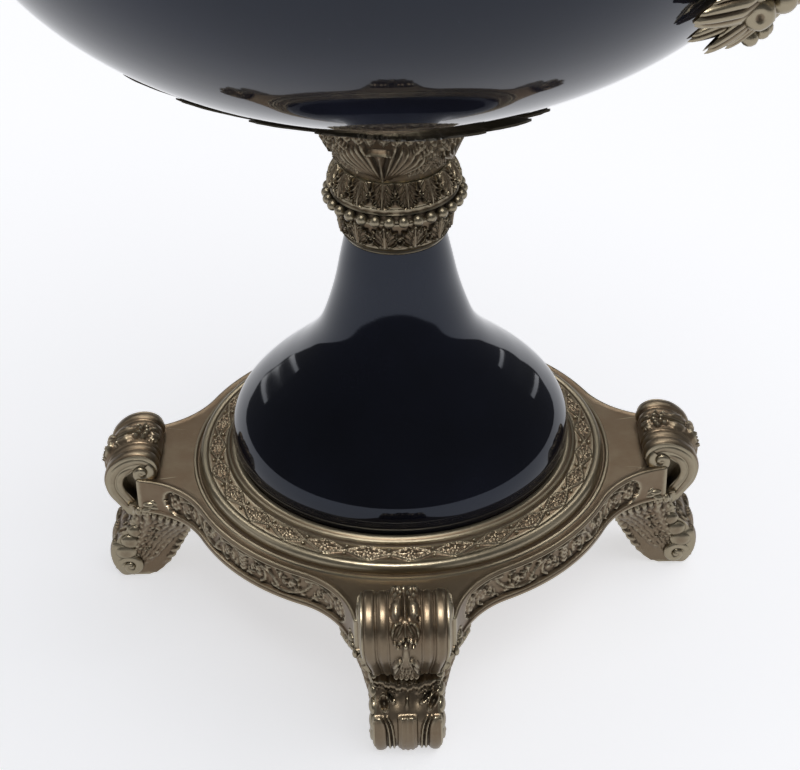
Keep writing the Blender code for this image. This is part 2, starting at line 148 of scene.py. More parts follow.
class Carving:
    """Raised ornament drawn with rounded strokes on a flat map, in millimetres."""

    def __init__(self) -> None:
        """Start with nothing drawn."""
        self.marks: list[tuple[float, float, float, float]] = []

    def dot(self, u: float, v: float, radius: float, height: float) -> "Carving":
        """Add one round boss."""
        self.marks.append((u, v, radius, height))
        return self

    def stroke(self, points: Sequence[Sequence[float]], radii: Sequence[float],
               heights: Sequence[float]) -> "Carving":
        """Draw a rounded rib through points.

        Args:
            points: (u, v) places it runs through.
            radii: its half widths, spread evenly over its length.
            heights: its heights, spread evenly over its length.

        Returns:
            The carving itself.
        """
        path = spline(points, 6)
        total = lengths(path)[-1]
        count = max(int(total / max(0.28 * min(radii), 0.12)), 4)
        share = np.linspace(0.0, 1.0, count)
        path = resample(path, share * total)
        wide = np.interp(share, np.linspace(0, 1, len(radii)), radii)
        high = np.interp(share, np.linspace(0, 1, len(heights)), heights)
        self.marks.extend(zip(path[:, 0], path[:, 1], wide, high))
        return self

    def curl(self, centre: tuple[float, float], start: float, turns: float, reach: float,
             width: float, height: float) -> "Carving":
        """Draw a spiral that winds into its centre.

        Args:
            centre: where it ends.
            start: direction of its outer end from the centre, in radians.
            turns: turns that it makes, anticlockwise where positive.
            reach: distance of its outer end from the centre.
            width: its half width there.
            height: its height.

        Returns:
            The carving itself.
        """
        share = np.linspace(0.0, 1.0, max(int(abs(turns) * 12), 5))
        angle = start + TAU * turns * share
        far = reach * (1.0 - 0.82 * share)
        path = np.stack([centre[0] + far * np.cos(angle), centre[1] + far * np.sin(angle)], 1)
        return self.stroke(path, (width, 0.7 * width), (height, height))

    def leaf(self, root: tuple[float, float], heading: float, length: float, width: float,
             height: float, lobes: int = 4, bend: float = 0.0) -> "Carving":
        """Draw a fluted leaf with pointed lobes on both sides of a midrib.

        Args:
            root: where it starts.
            heading: its direction in degrees.
            length: root to tip.
            width: reach of its widest lobes from the midrib.
            height: height of its midrib.
            lobes: lobes on each side.
            bend: degrees that it turns by from root to tip.

        Returns:
            The carving itself.
        """
        share = np.linspace(0.0, 1.0, 9)
        angle = np.radians(heading + bend * share)
        step = length / 8
        spine = np.stack([root[0] + np.concatenate([[0], np.cumsum(np.cos(angle[:-1])) * step]),
                          root[1] + np.concatenate([[0], np.cumsum(np.sin(angle[:-1])) * step])], 1)
        broad = width / lobes
        for k in range(lobes):
            at = 0.06 + 0.80 * k / lobes
            base = np.array([np.interp(at, share, spine[:, i]) for i in (0, 1)])
            way = math.radians(heading + bend * at)
            reach = width * (1.0 - 0.62 * at ** 1.6) * (0.80 if k == 0 else 1.0)
            for side in (-1, 1):
                out = way + side * 1.00
                tip = base + reach * np.array([math.cos(out), math.sin(out)])
                tip += 0.30 * reach * np.array([math.cos(way), math.sin(way)])
                half = base + 0.55 * reach * np.array([math.cos(way + side * 0.7),
                                                       math.sin(way + side * 0.7)])
                self.stroke((base, half, tip), (0.55 * broad, 0.95 * broad, 0.35 * broad),
                            (0.55 * height, 0.80 * height, 0.55 * height))
        return self.stroke(spine, (0.45 * broad, 0.5 * broad, 0.3 * broad),
                           (height, height, 0.8 * height))

    def flower(self, u: float, v: float, radius: float, height: float,
               petals: int = 5, start: float = 90.0) -> "Carving":
        """Draw a small flower: round petals about a boss.

        Args:
            u: its middle across.
            v: its middle along.
            radius: its radius.
            height: height of its boss.
            petals: how many petals.
            start: direction of the first petal in degrees.

        Returns:
            The carving itself.
        """
        for k in range(petals):
            angle = math.radians(start) + TAU * k / petals
            self.dot(u + 0.62 * radius * math.cos(angle), v + 0.62 * radius * math.sin(angle),
                     0.44 * radius, 0.8 * height)
        return self.dot(u, v, 0.36 * radius, height)

    def ragged(self, edge: Sequence[tuple[float, float]], wide: float, radii: Sequence[float],
               heights: Sequence[float]) -> "Carving":
        """Draw a rib along each side of a ragged edge.

        Args:
            edge: its corners.
            wide: factor that widens it.
            radii: half widths along each rib.
            heights: heights along each rib.

        Returns:
            The carving itself.
        """
        for (u0, v0), (u1, v1) in zip(edge, edge[1:]):
            self.stroke(((u0 * wide, v0), (u1 * wide, v1)), radii, heights)
        return self

    def veins(self, root: tuple[float, float], tips: Sequence[tuple[float, float]], bow: float,
              wide: float, radii: Sequence[float], heights: Sequence[float]) -> "Carving":
        """Draw bowed veins from a root to tips.

        Args:
            root: where they start.
            tips: where they end.
            bow: how far their middles are shifted along.
            wide: factor that widens the tips.
            radii: half widths along each vein.
            heights: heights along each vein.

        Returns:
            The carving itself.
        """
        for u, v in tips:
            self.stroke((root, (u * 0.5 * wide, v + bow), (u * wide, v)), radii, heights)
        return self

    def mirrored(self) -> "Carving":
        """Add the mirror image across the line u = 0."""
        self.marks += [(-u, v, radius, height) for u, v, radius, height in self.marks]
        return self

    def over(self, u: np.ndarray, v: np.ndarray) -> np.ndarray:
        """Height of the carving at places on its map.

        Args:
            u: places across.
            v: places along, in an array of the same shape.

        Returns:
            The heights, in an array of that shape.
        """
        flat_u, flat_v = u.ravel(), v.ravel()
        order = np.argsort(flat_u)
        sorted_u, sorted_v = flat_u[order], flat_v[order]
        high = np.zeros(len(flat_u))
        for mark_u, mark_v, radius, height in self.marks:
            low, top = np.searchsorted(sorted_u, (mark_u - radius, mark_u + radius))
            if low == top:
                continue
            away = ((sorted_u[low:top] - mark_u) ** 2 + (sorted_v[low:top] - mark_v) ** 2)
            dome = height * np.clip(1.0 - away / radius ** 2, 0.0, 1.0) ** 0.7
            np.maximum(high[low:top], dome, out=high[low:top])
        result = np.empty_like(high)
        result[order] = high
        return result.reshape(u.shape)


# --- meshes ---
class Shell:
    """A mesh under construction: points and faces gathered from several closed bodies."""

    def __init__(self) -> None:
        """Start empty."""
        self.points: list[np.ndarray] = []
        self.faces: list[list[int]] = []
        self.count = 0

    def add(self, points: np.ndarray, faces: Iterable[Sequence[int]]) -> "Shell":
        """Add one body.

        Args:
            points: its points.
            faces: its faces, by point number.

        Returns:
            The shell itself.
        """
        points = np.asarray(points, float).reshape(-1, 3)
        self.faces.extend([[i + self.count for i in face] for face in faces])
        self.points.append(points)
        self.count += len(points)
        return self

    def join(self, other: "Shell", angle: float = 0.0) -> "Shell":
        """Add another shell, turned about the axis by an angle in radians."""
        return self.add(turned_about_axis(np.vstack(other.points), angle), other.faces)

    def loops(self, rings: np.ndarray, capped: bool = True) -> "Shell":
        """Add a skin over rings of points, each ring joined to itself.

        Args:
            rings: array (rings, points, 3).
            capped: closes the first and the last ring.

        Returns:
            The shell itself.
        """
        rows, columns = rings.shape[:2]
        index = np.arange(rows * columns).reshape(rows, columns)
        after = np.roll(index, -1, 1)
        faces = np.stack([index[:-1], after[:-1], after[1:], index[1:]], -1)
        faces = faces.reshape(-1, 4).tolist()
        points = rings.reshape(-1, 3)
        if capped:
            middle = rows * columns
            points = np.vstack([points, rings[0].mean(0), rings[-1].mean(0)])
            for k in range(columns):
                faces.append([middle, int(after[0, k]), int(index[0, k])])
                faces.append([middle + 1, int(index[-1, k]), int(after[-1, k])])
        return self.add(points, faces)

    def plate(self, points: np.ndarray, height: np.ndarray, depth: float | np.ndarray,
              under: int = 5, taper: float = 0.0) -> "Shell":
        """Add a thick sheet with a carved upper side.

        Args:
            points: its middle surface, array (rows, columns, 3).
            height: how far the upper side stands over it at each point.
            depth: how far its under side lies below.
            under: columns of the plain under side.
            taper: share of the depth that is left off at its rim.

        Returns:
            The shell itself.
        """
        along = np.gradient(points, axis=0)
        across = np.gradient(points, axis=1)
        normal = unit(np.cross(across, along))
        top = points + normal * height[..., None]
        rows, columns = height.shape
        pick = np.linspace(columns - 1, 0, under).round().astype(int)
        rim = np.ones((rows, columns))
        if taper:
            u = np.linspace(-1, 1, columns)
            v = np.linspace(-1, 1, rows)
            rim = 1.0 - taper * np.maximum(np.abs(u)[None, :] ** 4, np.abs(v)[:, None] ** 6)
        low = (points - normal * (depth * rim)[..., None])[:, pick]
        return self.loops(np.concatenate([top, low], axis=1))

    def tube(self, path: np.ndarray, radii: Sequence[float], sides: int = 10,
             flat: float = 1.0, up: Sequence[float] = (0.0, 0.0, 1.0)) -> "Shell":
        """Add a rod along a path.

        Args:
            path: its middle line, array (points, 3).
            radii: its radii, spread evenly over its length.
            sides: sides round it.
            flat: its thickness along up as a share of its radius.
            up: a direction that it keeps as its own upward side.

        Returns:
            The shell itself.
        """
        share = lengths(path) / lengths(path)[-1]
        wide = np.interp(share, np.linspace(0, 1, len(radii)), radii)
        ahead = unit(np.gradient(path, axis=0))
        side = unit(np.cross(ahead, np.asarray(up, float)))
        over = unit(np.cross(side, ahead))
        angle = TAU * np.arange(sides) / sides
        ring = (side[:, None, :] * np.cos(angle)[None, :, None]
                + over[:, None, :] * (flat * np.sin(angle))[None, :, None])
        return self.loops(path[:, None, :] + ring * wide[:, None, None])

    def bud(self, centre: Sequence[float], axes: np.ndarray, size: Sequence[float],
            rows: int = 8, columns: int = 12,
            form: Callable[[np.ndarray, np.ndarray], np.ndarray] | None = None) -> "Shell":
        """Add a rounded body with its poles on its third axis.

        Args:
            centre: its middle.
            axes: three unit vectors as rows.
            size: its half sizes along them.
            rows: rings from pole to pole.
            columns: points round a ring.
            form: gives a radius factor from polar angle and azimuth.

        Returns:
            The shell itself.
        """
        polar = np.linspace(0.12, math.pi - 0.12, rows)[:, None]
        turn = (TAU * np.arange(columns) / columns)[None, :]
        factor = form(polar, turn) if form else np.ones((rows, columns))
        local = np.stack([np.sin(polar) * np.cos(turn) * factor,
                          np.sin(polar) * np.sin(turn) * factor,
                          np.cos(polar) * np.ones_like(turn) * factor], -1)
        return self.loops(np.asarray(centre) + (local * np.asarray(size)) @ np.asarray(axes))

    def mesh(self, name: str) -> bpy.types.Mesh:
        """Make a mesh with merged doubles and outward normals."""
        mesh = bpy.data.meshes.new(name)
        mesh.from_pydata(np.vstack(self.points).tolist(), [], self.faces)
        return tidied(mesh)


def tidied(mesh: bpy.types.Mesh, merge: float = 2e-6) -> bpy.types.Mesh:
    """Merge doubles, drop flat faces and turn every closed body's faces outward.

    Args:
        mesh: the mesh, which is changed.
        merge: distance under which two points are one.

    Returns:
        The same mesh.
    """
    work = bmesh.new()
    work.from_mesh(mesh)
    bmesh.ops.remove_doubles(work, verts=work.verts, dist=merge)
    bmesh.ops.dissolve_degenerate(work, edges=work.edges, dist=1e-7)
    bmesh.ops.recalc_face_normals(work, faces=work.faces)
    work.to_mesh(mesh)
    work.free()
    mesh.update()
    return mesh


def vectors(layer: bpy.types.bpy_prop_collection, field: str) -> np.ndarray:
    """Three numbers for each item of a mesh layer, as an array."""
    flat = np.empty(len(layer) * 3, np.float32)
    layer.foreach_get(field, flat)
    return flat.reshape(-1, 3).astype(float)


def store(mesh: bpy.types.Mesh, name: str, values: np.ndarray) -> None:
    """Keep one number per point in a mesh."""
    layer = mesh.attributes.get(name) or mesh.attributes.new(name, "FLOAT", "POINT")
    layer.data.foreach_set("value", values.astype(np.float32))


def smoothed(points: np.ndarray, pairs: np.ndarray, rounds: int = 7) -> np.ndarray:
    """Draw every point towards its neighbours.

    Args:
        points: the points.
        pairs: the two ends of every edge.
        rounds: how many times.

    Returns:
        The moved points.
    """
    first, second = pairs[:, 0], pairs[:, 1]
    degree = np.bincount(pairs.ravel(), minlength=len(points)).clip(1)[:, None]
    for _ in range(rounds):
        total = np.stack([np.bincount(first, points[second, k], len(points))
                          + np.bincount(second, points[first, k], len(points))
                          for k in range(3)], 1)
        points = 0.3 * points + 0.7 * total / degree
    return points


def shelter(mesh: bpy.types.Mesh, reach: float, rays: int = 9) -> np.ndarray:
    """How much of the space before each point is taken up by near metal, 0 to 1.

    Args:
        mesh: the finished mesh.
        reach: how near the metal has to be.
        rays: directions that are tried at each point.

    Returns:
        One number per point.
    """
    points = vectors(mesh.vertices, "co")
    normals = vectors(mesh.vertex_normals, "vector")
    tree = BVHTree.FromPolygons(points.tolist(), [tuple(f.vertices) for f in mesh.polygons])
    helper = np.where(np.abs(normals[:, 2:]) < 0.9, (0.0, 0.0, 1.0), (1.0, 0.0, 0.0))
    side = unit(np.cross(normals, helper))
    other = np.cross(normals, side)
    hits = np.zeros(len(points))
    starts = [Vector(p) for p in points + normals * 0.00006]
    for k in range(rays):
        slope = math.acos(1.0 - 0.82 * (k + 0.5) / rays)
        turn = GOLDEN_ANGLE * k
        way = (side * (math.sin(slope) * math.cos(turn))
               + other * (math.sin(slope) * math.sin(turn)) + normals * math.cos(slope))
        for i, direction in enumerate(way.tolist()):
            found = tree.ray_cast(starts[i], Vector(direction), reach)
            if found[0] is not None:
                hits[i] += 1.0 - found[3] / reach
    return hits / rays


def measure_wear_and_shade(mesh: bpy.types.Mesh, depth: float, reach: float) -> None:
    """Store the relief and sheltering that set a casting's dark patina and painted shade in its
    hollows, and its rubbed bright places.

    Args:
        mesh: the finished mesh.
        depth: relief that counts as fully hollow or fully proud.
        reach: how near other metal has to be to shelter a place.
    """
    points = vectors(mesh.vertices, "co")
    pairs = np.empty(len(mesh.edges) * 2, np.int32)
    mesh.edges.foreach_get("vertices", pairs)
    sunk = smoothed(points, pairs.reshape(-1, 2)) - points
    hollow = np.einsum("ij,ij->i", sunk, vectors(mesh.vertex_normals, "vector")) / depth
    store(mesh, "hollow", np.clip(hollow, -1.0, 1.0) * 0.5 + 0.5)
    store(mesh, "shelter", shelter(mesh, reach))


# --- geometry nodes ---
class GeometryTree:
    """A Geometry Nodes tree with named inputs, built step by step."""

    def __init__(self, name: str) -> None:
        """Start a tree with one geometry input and one geometry output."""
        self.tree = bpy.data.node_groups.new(name, "GeometryNodeTree")
        self.tree.interface.new_socket("Geometry", in_out="INPUT",
                                       socket_type="NodeSocketGeometry")
        self.tree.interface.new_socket("Geometry", in_out="OUTPUT",
                                       socket_type="NodeSocketGeometry")
        self.identifiers: dict[str, str] = {}
        self.source = self.tree.nodes.new("NodeGroupInput")
        self.sink = self.tree.nodes.new("NodeGroupOutput")

    def value(self, name: str, kind: str) -> bpy.types.NodeSocket:
        """Add a named input and return its socket."""
        item = self.tree.interface.new_socket(name, in_out="INPUT", socket_type=kind)
        self.identifiers[name] = item.identifier
        return self.source.outputs[name]

    def node(self, kind: str, settings: dict | None = None, **sockets: object) -> bpy.types.Node:
        """Add a node.

        Args:
            kind: its type.
            settings: its own settings, made before its inputs are filled.
            sockets: values or links, by input name with underscores, or n and number.

        Returns:
            The node.
        """
        node = self.tree.nodes.new(kind)
        for key, setting in (settings or {}).items():
            setattr(node, key, setting)
        for key, given in sockets.items():
            name = key.replace("_", " ")
            socket = (node.inputs[int(name[1:])] if name[0] == "n" and name[1:].isdigit()
                      else next(s for s in node.inputs if s.name == name and s.enabled))
            if isinstance(given, bpy.types.NodeSocket):
                self.tree.links.new(given, socket)
            else:
                socket.default_value = given
        return node

    def finish(self, geometry: bpy.types.NodeSocket) -> "GeometryTree":
        """Realize, merge, give the material and end the tree.

        Args:
            geometry: what the tree has made.

        Returns:
            The tree itself.
        """
        metal = self.value("Material", "NodeSocketMaterial")
        real = self.node("GeometryNodeRealizeInstances", None, Geometry=geometry)
        merged = self.node("GeometryNodeMergeByDistance", None, Geometry=real.outputs[0],
                           Distance=2e-6)
        dressed = self.node("GeometryNodeSetMaterial", None, Geometry=merged.outputs[0],
                            Material=metal)
        self.tree.links.new(dressed.outputs[0], self.sink.inputs[0])
        return self

    def run(self, mesh: bpy.types.Mesh, **values: object) -> bpy.types.Mesh:
        """Apply the tree to a mesh.

        Args:
            mesh: what it works on.
            values: its named inputs, spaces written as underscores.

        Returns:
            The plain mesh that comes out.
        """
        item = bpy.data.objects.new("blank", mesh)
        bpy.context.scene.collection.objects.link(item)
        modifier = item.modifiers.new("tree", "NODES")
        modifier.node_group = self.tree
        for name, value in values.items():
            modifier[self.identifiers[name.replace("_", " ")]] = value
        bpy.context.view_layer.update()
        graph = bpy.context.evaluated_depsgraph_get()
        result = bpy.data.meshes.new_from_object(item.evaluated_get(graph))
        bpy.data.objects.remove(item, do_unlink=True)
        return result


def ring_repeat_tree() -> GeometryTree:
    """A tree that repeats a cell round the vertical axis and welds the copies."""
    tree = GeometryTree("repeat_round_axis")
    count = tree.value("Count", "NodeSocketInt")
    start = tree.value("Start", "NodeSocketFloat")
    spots = tree.node("GeometryNodeMeshLine", None, Count=count, Offset=(0.0, 0.0, 0.0))
    number = tree.node("GeometryNodeInputIndex")
    share = tree.node("ShaderNodeMath", {"operation": "DIVIDE"}, n0=number.outputs[0], n1=count)
    turn = tree.node("ShaderNodeMath", {"operation": "MULTIPLY_ADD"}, n0=share.outputs[0],
                     n1=TAU, n2=start)
    way = tree.node("ShaderNodeCombineXYZ", None, Z=turn.outputs[0])
    copies = tree.node("GeometryNodeInstanceOnPoints", None, Points=spots.outputs[0],
                       Instance=tree.source.outputs[0], Rotation=way.outputs[0])
    return tree.finish(copies.outputs[0])


def turned_tree() -> GeometryTree:
    """A tree that turns a profile line, given as edges in the XZ plane, on the lathe."""
    tree = GeometryTree("turned_form")
    rows = tree.value("Rows", "NodeSocketInt")
    segments = tree.value("Segments", "NodeSocketInt")
    line = tree.node("GeometryNodeMeshToCurve", None, Mesh=tree.source.outputs[0])
    grid = tree.node("GeometryNodeMeshGrid", None, Size_X=1.0, Size_Y=1.0, Vertices_X=rows,
                     Vertices_Y=segments)
    place = tree.node("GeometryNodeInputPosition")
    parts = tree.node("ShaderNodeSeparateXYZ", None, n0=place.outputs[0])
    along = tree.node("ShaderNodeMath", {"operation": "ADD"}, n0=parts.outputs[0], n1=0.5)
    turn = tree.node("ShaderNodeMath", {"operation": "MULTIPLY_ADD"}, n0=parts.outputs[1],
                     n1=TAU, n2=math.pi)
    spot = tree.node("GeometryNodeSampleCurve", {"mode": "FACTOR", "use_all_curves": True},
                     Curves=line.outputs[0], Factor=along.outputs[0])
    round_axis = tree.node("ShaderNodeVectorRotate", {"rotation_type": "Z_AXIS"},
                           Vector=spot.outputs["Position"], Angle=turn.outputs[0])
    form = tree.node("GeometryNodeSetPosition", None, Geometry=grid.outputs[0],
                     Position=round_axis.outputs[0])
    return tree.finish(form.outputs[0])


def pearl_tree() -> GeometryTree:
    """A tree that sets a round pearl on every point, sized by the point's own "size"."""
    tree = GeometryTree("pearls_on_points")
    around = tree.value("Around", "NodeSocketInt")
    rings = tree.value("Rings", "NodeSocketInt")
    size = tree.node("GeometryNodeInputNamedAttribute", {"data_type": "FLOAT"}, Name="size")
    ball = tree.node("GeometryNodeMeshUVSphere", None, Segments=around, Rings=rings, Radius=1.0)
    copies = tree.node("GeometryNodeInstanceOnPoints", None, Points=tree.source.outputs[0],
                       Instance=ball.outputs[0], Scale=size.outputs[0])
    return tree.finish(copies.outputs[0])


# --- finishes ---
class Channel:
    """A number socket that can be used in plain arithmetic."""

    def __init__(self, shader: "ShaderTree", socket: bpy.types.NodeSocket) -> None:
        """Wrap a socket of a shader tree."""
        self.shader = shader
        self.socket = socket

    def _join(self, operation: str, first: object, second: object) -> "Channel":
        """Add one Math node."""
        node = self.shader.node("ShaderNodeMath", {"operation": operation},
                                {0: first, 1: second})
        return Channel(self.shader, node.outputs[0])

    def __add__(self, other: object) -> "Channel":
        """self + other."""
        return self._join("ADD", self, other)

    __radd__ = __add__

    def __mul__(self, other: object) -> "Channel":
        """self * other."""
        return self._join("MULTIPLY", self, other)

    __rmul__ = __mul__

    def __sub__(self, other: object) -> "Channel":
        """self - other."""
        return self._join("SUBTRACT", self, other)

    def __rsub__(self, other: object) -> "Channel":
        """other - self."""
        return self._join("SUBTRACT", other, self)

    def within(self, low: float, high: float) -> "Channel":
        """Rise from 0 at low to 1 at high, smoothly and clamped."""
        node = self.shader.node("ShaderNodeMapRange", {"interpolation_type": "SMOOTHSTEP"},
                                {0: self, 1: low, 2: high, 3: 0.0, 4: 1.0})
        return Channel(self.shader, node.outputs[0])


class ShaderTree:
    """A material under construction."""

    def __init__(self, name: str) -> None:
        """Start a material that holds one Principled shader."""
        self.material = bpy.data.materials.new(name)
        self.material.use_nodes = True
        self.tree = self.material.node_tree
        self.surface = self.tree.nodes["Principled BSDF"]

    def node(self, kind: str, settings: dict | None = None,
             sockets: dict | None = None) -> bpy.types.Node:
        """Add a node.

        Args:
            kind: its type.
            settings: its own settings, made before its sockets are filled.
            sockets: values or links, by socket name or number.

        Returns:
            The node.
        """
        node = self.tree.nodes.new(kind)
        for key, setting in (settings or {}).items():
            setattr(node, key, setting)
        for key, given in (sockets or {}).items():
            self.fill(node.inputs[key], given)
        return node

    def fill(self, socket: bpy.types.NodeSocket, given: object) -> None:
        """Link or set one socket.

        Args:
            socket: the socket.
            given: a value, a socket or a channel.
        """
        if isinstance(given, Channel):
            given = given.socket
        if isinstance(given, bpy.types.NodeSocket):
            self.tree.links.new(given, socket)
        else:
            socket.default_value = given

    def attribute(self, name: str) -> Channel:
        """A number kept on the mesh."""
        node = self.node("ShaderNodeAttribute", {"attribute_name": name})
        return Channel(self, node.outputs["Fac"])

    def noise(self, scale: float, detail: float, roughness: float) -> Channel:
        """Cloudy noise on object coordinates.

        Args:
            scale: lumps per metre.
            detail: octaves.
            roughness: strength of each octave beside the one before.

        Returns:
            The noise, about 0.5.
        """
        place = self.node("ShaderNodeTexCoord").outputs["Object"]
        node = self.node("ShaderNodeTexNoise", None, {
            "Vector": place, "Scale": scale, "Detail": detail, "Roughness": roughness})
        return Channel(self, node.outputs[0])

    def mix(self, share: Channel | float, first: object, second: object) -> bpy.types.NodeSocket:
        """Blend two colours.

        Args:
            share: how much of the second.
            first: a colour or a link.
            second: a colour or a link.

        Returns:
            The blended colour.
        """
        node = self.node("ShaderNodeMix", {"data_type": "RGBA"}, {"Factor": share})
        for socket, given in ((node.inputs[6], first), (node.inputs[7], second)):
            self.fill(socket, (*given, 1.0) if isinstance(given, tuple) else given)
        return node.outputs[2]

    def bump(self, height: Channel, strength: float,
             distance: float) -> bpy.types.NodeSocket:
        """Turn a height into a shading normal."""
        return self.node("ShaderNodeBump", None, {
            "Height": height, "Strength": strength, "Distance": distance}).outputs[0]

    def dress(self, **sockets: object) -> bpy.types.Material:
        """Fill the shader's sockets (spaces written as underscores)."""
        for key, given in sockets.items():
            self.fill(self.surface.inputs[key.replace("_", " ")], given)
        return self.material


@dataclass(frozen=True)
class AntiqueBronze:
    """Cast bronze, darkened in the hollows by brown patina and painted shade, rubbed to pale brass
    on the high places.
    """

    name: str = "antique_bronze"
    # colour of the dark patina and painted shade in hollows and sheltered places
    hollow: Colour = (0.058, 0.044, 0.029)
    field: Colour = (0.202, 0.158, 0.108)
    rubbed: Colour = (0.345, 0.300, 0.214)
    brown: Colour = (0.152, 0.104, 0.066)
    # near-black painted shade, laid over pieces that lie in shadow
    shade_black: Colour = (0.014, 0.012, 0.009)
    roughness: float = 0.36
    grain: float = 0.07

    def make(self) -> bpy.types.Material:
        """Build the material."""
        shader = ShaderTree(self.name)
        hollow = shader.attribute("hollow")
        shelter = shader.attribute("shelter")
        # how much painted shade each point takes, for places that lie in shadow
        age = shader.attribute("age")
        cloud = shader.noise(38.0, 4.0, 0.62)
        fleck = shader.noise(620.0, 3.0, 0.6)
        cast = shader.noise(1500.0, 2.0, 0.5)
        # dark patina plus painted shade: deepest in hollows, where near metal shelters a place, and
        # where painted shade is stored
        patina_and_shade = (shelter * 1.15 + hollow * 1.0 - 0.60 + (cloud - 0.5) * 0.5
                 + (fleck - 0.5) * 0.35 + age * 0.25).within(0.12, 0.85)
        rub = ((0.5 - hollow) * 2.4 + (cloud - 0.5) * 0.7 + (fleck - 0.5) * 0.3
               - shelter * 0.5).within(0.02, 0.62)
        tone = shader.mix(cloud.within(0.36, 0.66) * 0.75, self.field, self.brown)
        tone = shader.mix(rub * 0.85, tone, self.rubbed)
        # patina and painted shade in the hollows, then near-black painted shade over pieces that
        # lie in shadow
        tone = shader.mix(patina_and_shade * 0.92, tone, self.hollow)
        tone = shader.mix(age, tone, self.shade_black)
        rough = self.roughness + patina_and_shade * 0.26 - rub * 0.05 + (fleck - 0.5) * 0.16 + age * 0.10
        normal = shader.bump(cast * 0.5 + fleck, self.grain, 0.00045)
        return shader.dress(Base_Color=tone, Roughness=rough, Metallic=0.98 - patina_and_shade * 0.3,
                            Normal=normal)


@dataclass(frozen=True)
class NavyGlaze:
    """Near-black navy porcelain under a clear, faintly rippled glaze."""

    name: str = "navy_porcelain"
    deep: Colour = (0.0060, 0.0062, 0.0092)
    light: Colour = (0.0095, 0.0105, 0.0180)
    roughness: float = 0.055

    def make(self) -> bpy.types.Material:
        """Build the material."""
        shader = ShaderTree(self.name)
        pool = shader.noise(14.0, 3.0, 0.55)
        speck = shader.noise(900.0, 2.0, 0.5)
        ripple = shader.noise(22.0, 2.0, 0.4)
        tone = shader.mix(pool.within(0.3, 0.7), self.deep, self.light)
        tone = shader.mix(speck.within(0.72, 0.80) * 0.35, tone, (0.05, 0.06, 0.09))
        rough = self.roughness + (pool - 0.5) * 0.05 + speck.within(0.70, 0.80) * 0.08
        normal = shader.bump(ripple + speck * 0.02, 0.10, 0.0012)
        return shader.dress(Base_Color=tone, Roughness=rough, Normal=normal, IOR=1.47,
                            Specular_Tint=(0.74, 0.82, 1.0, 1.0))


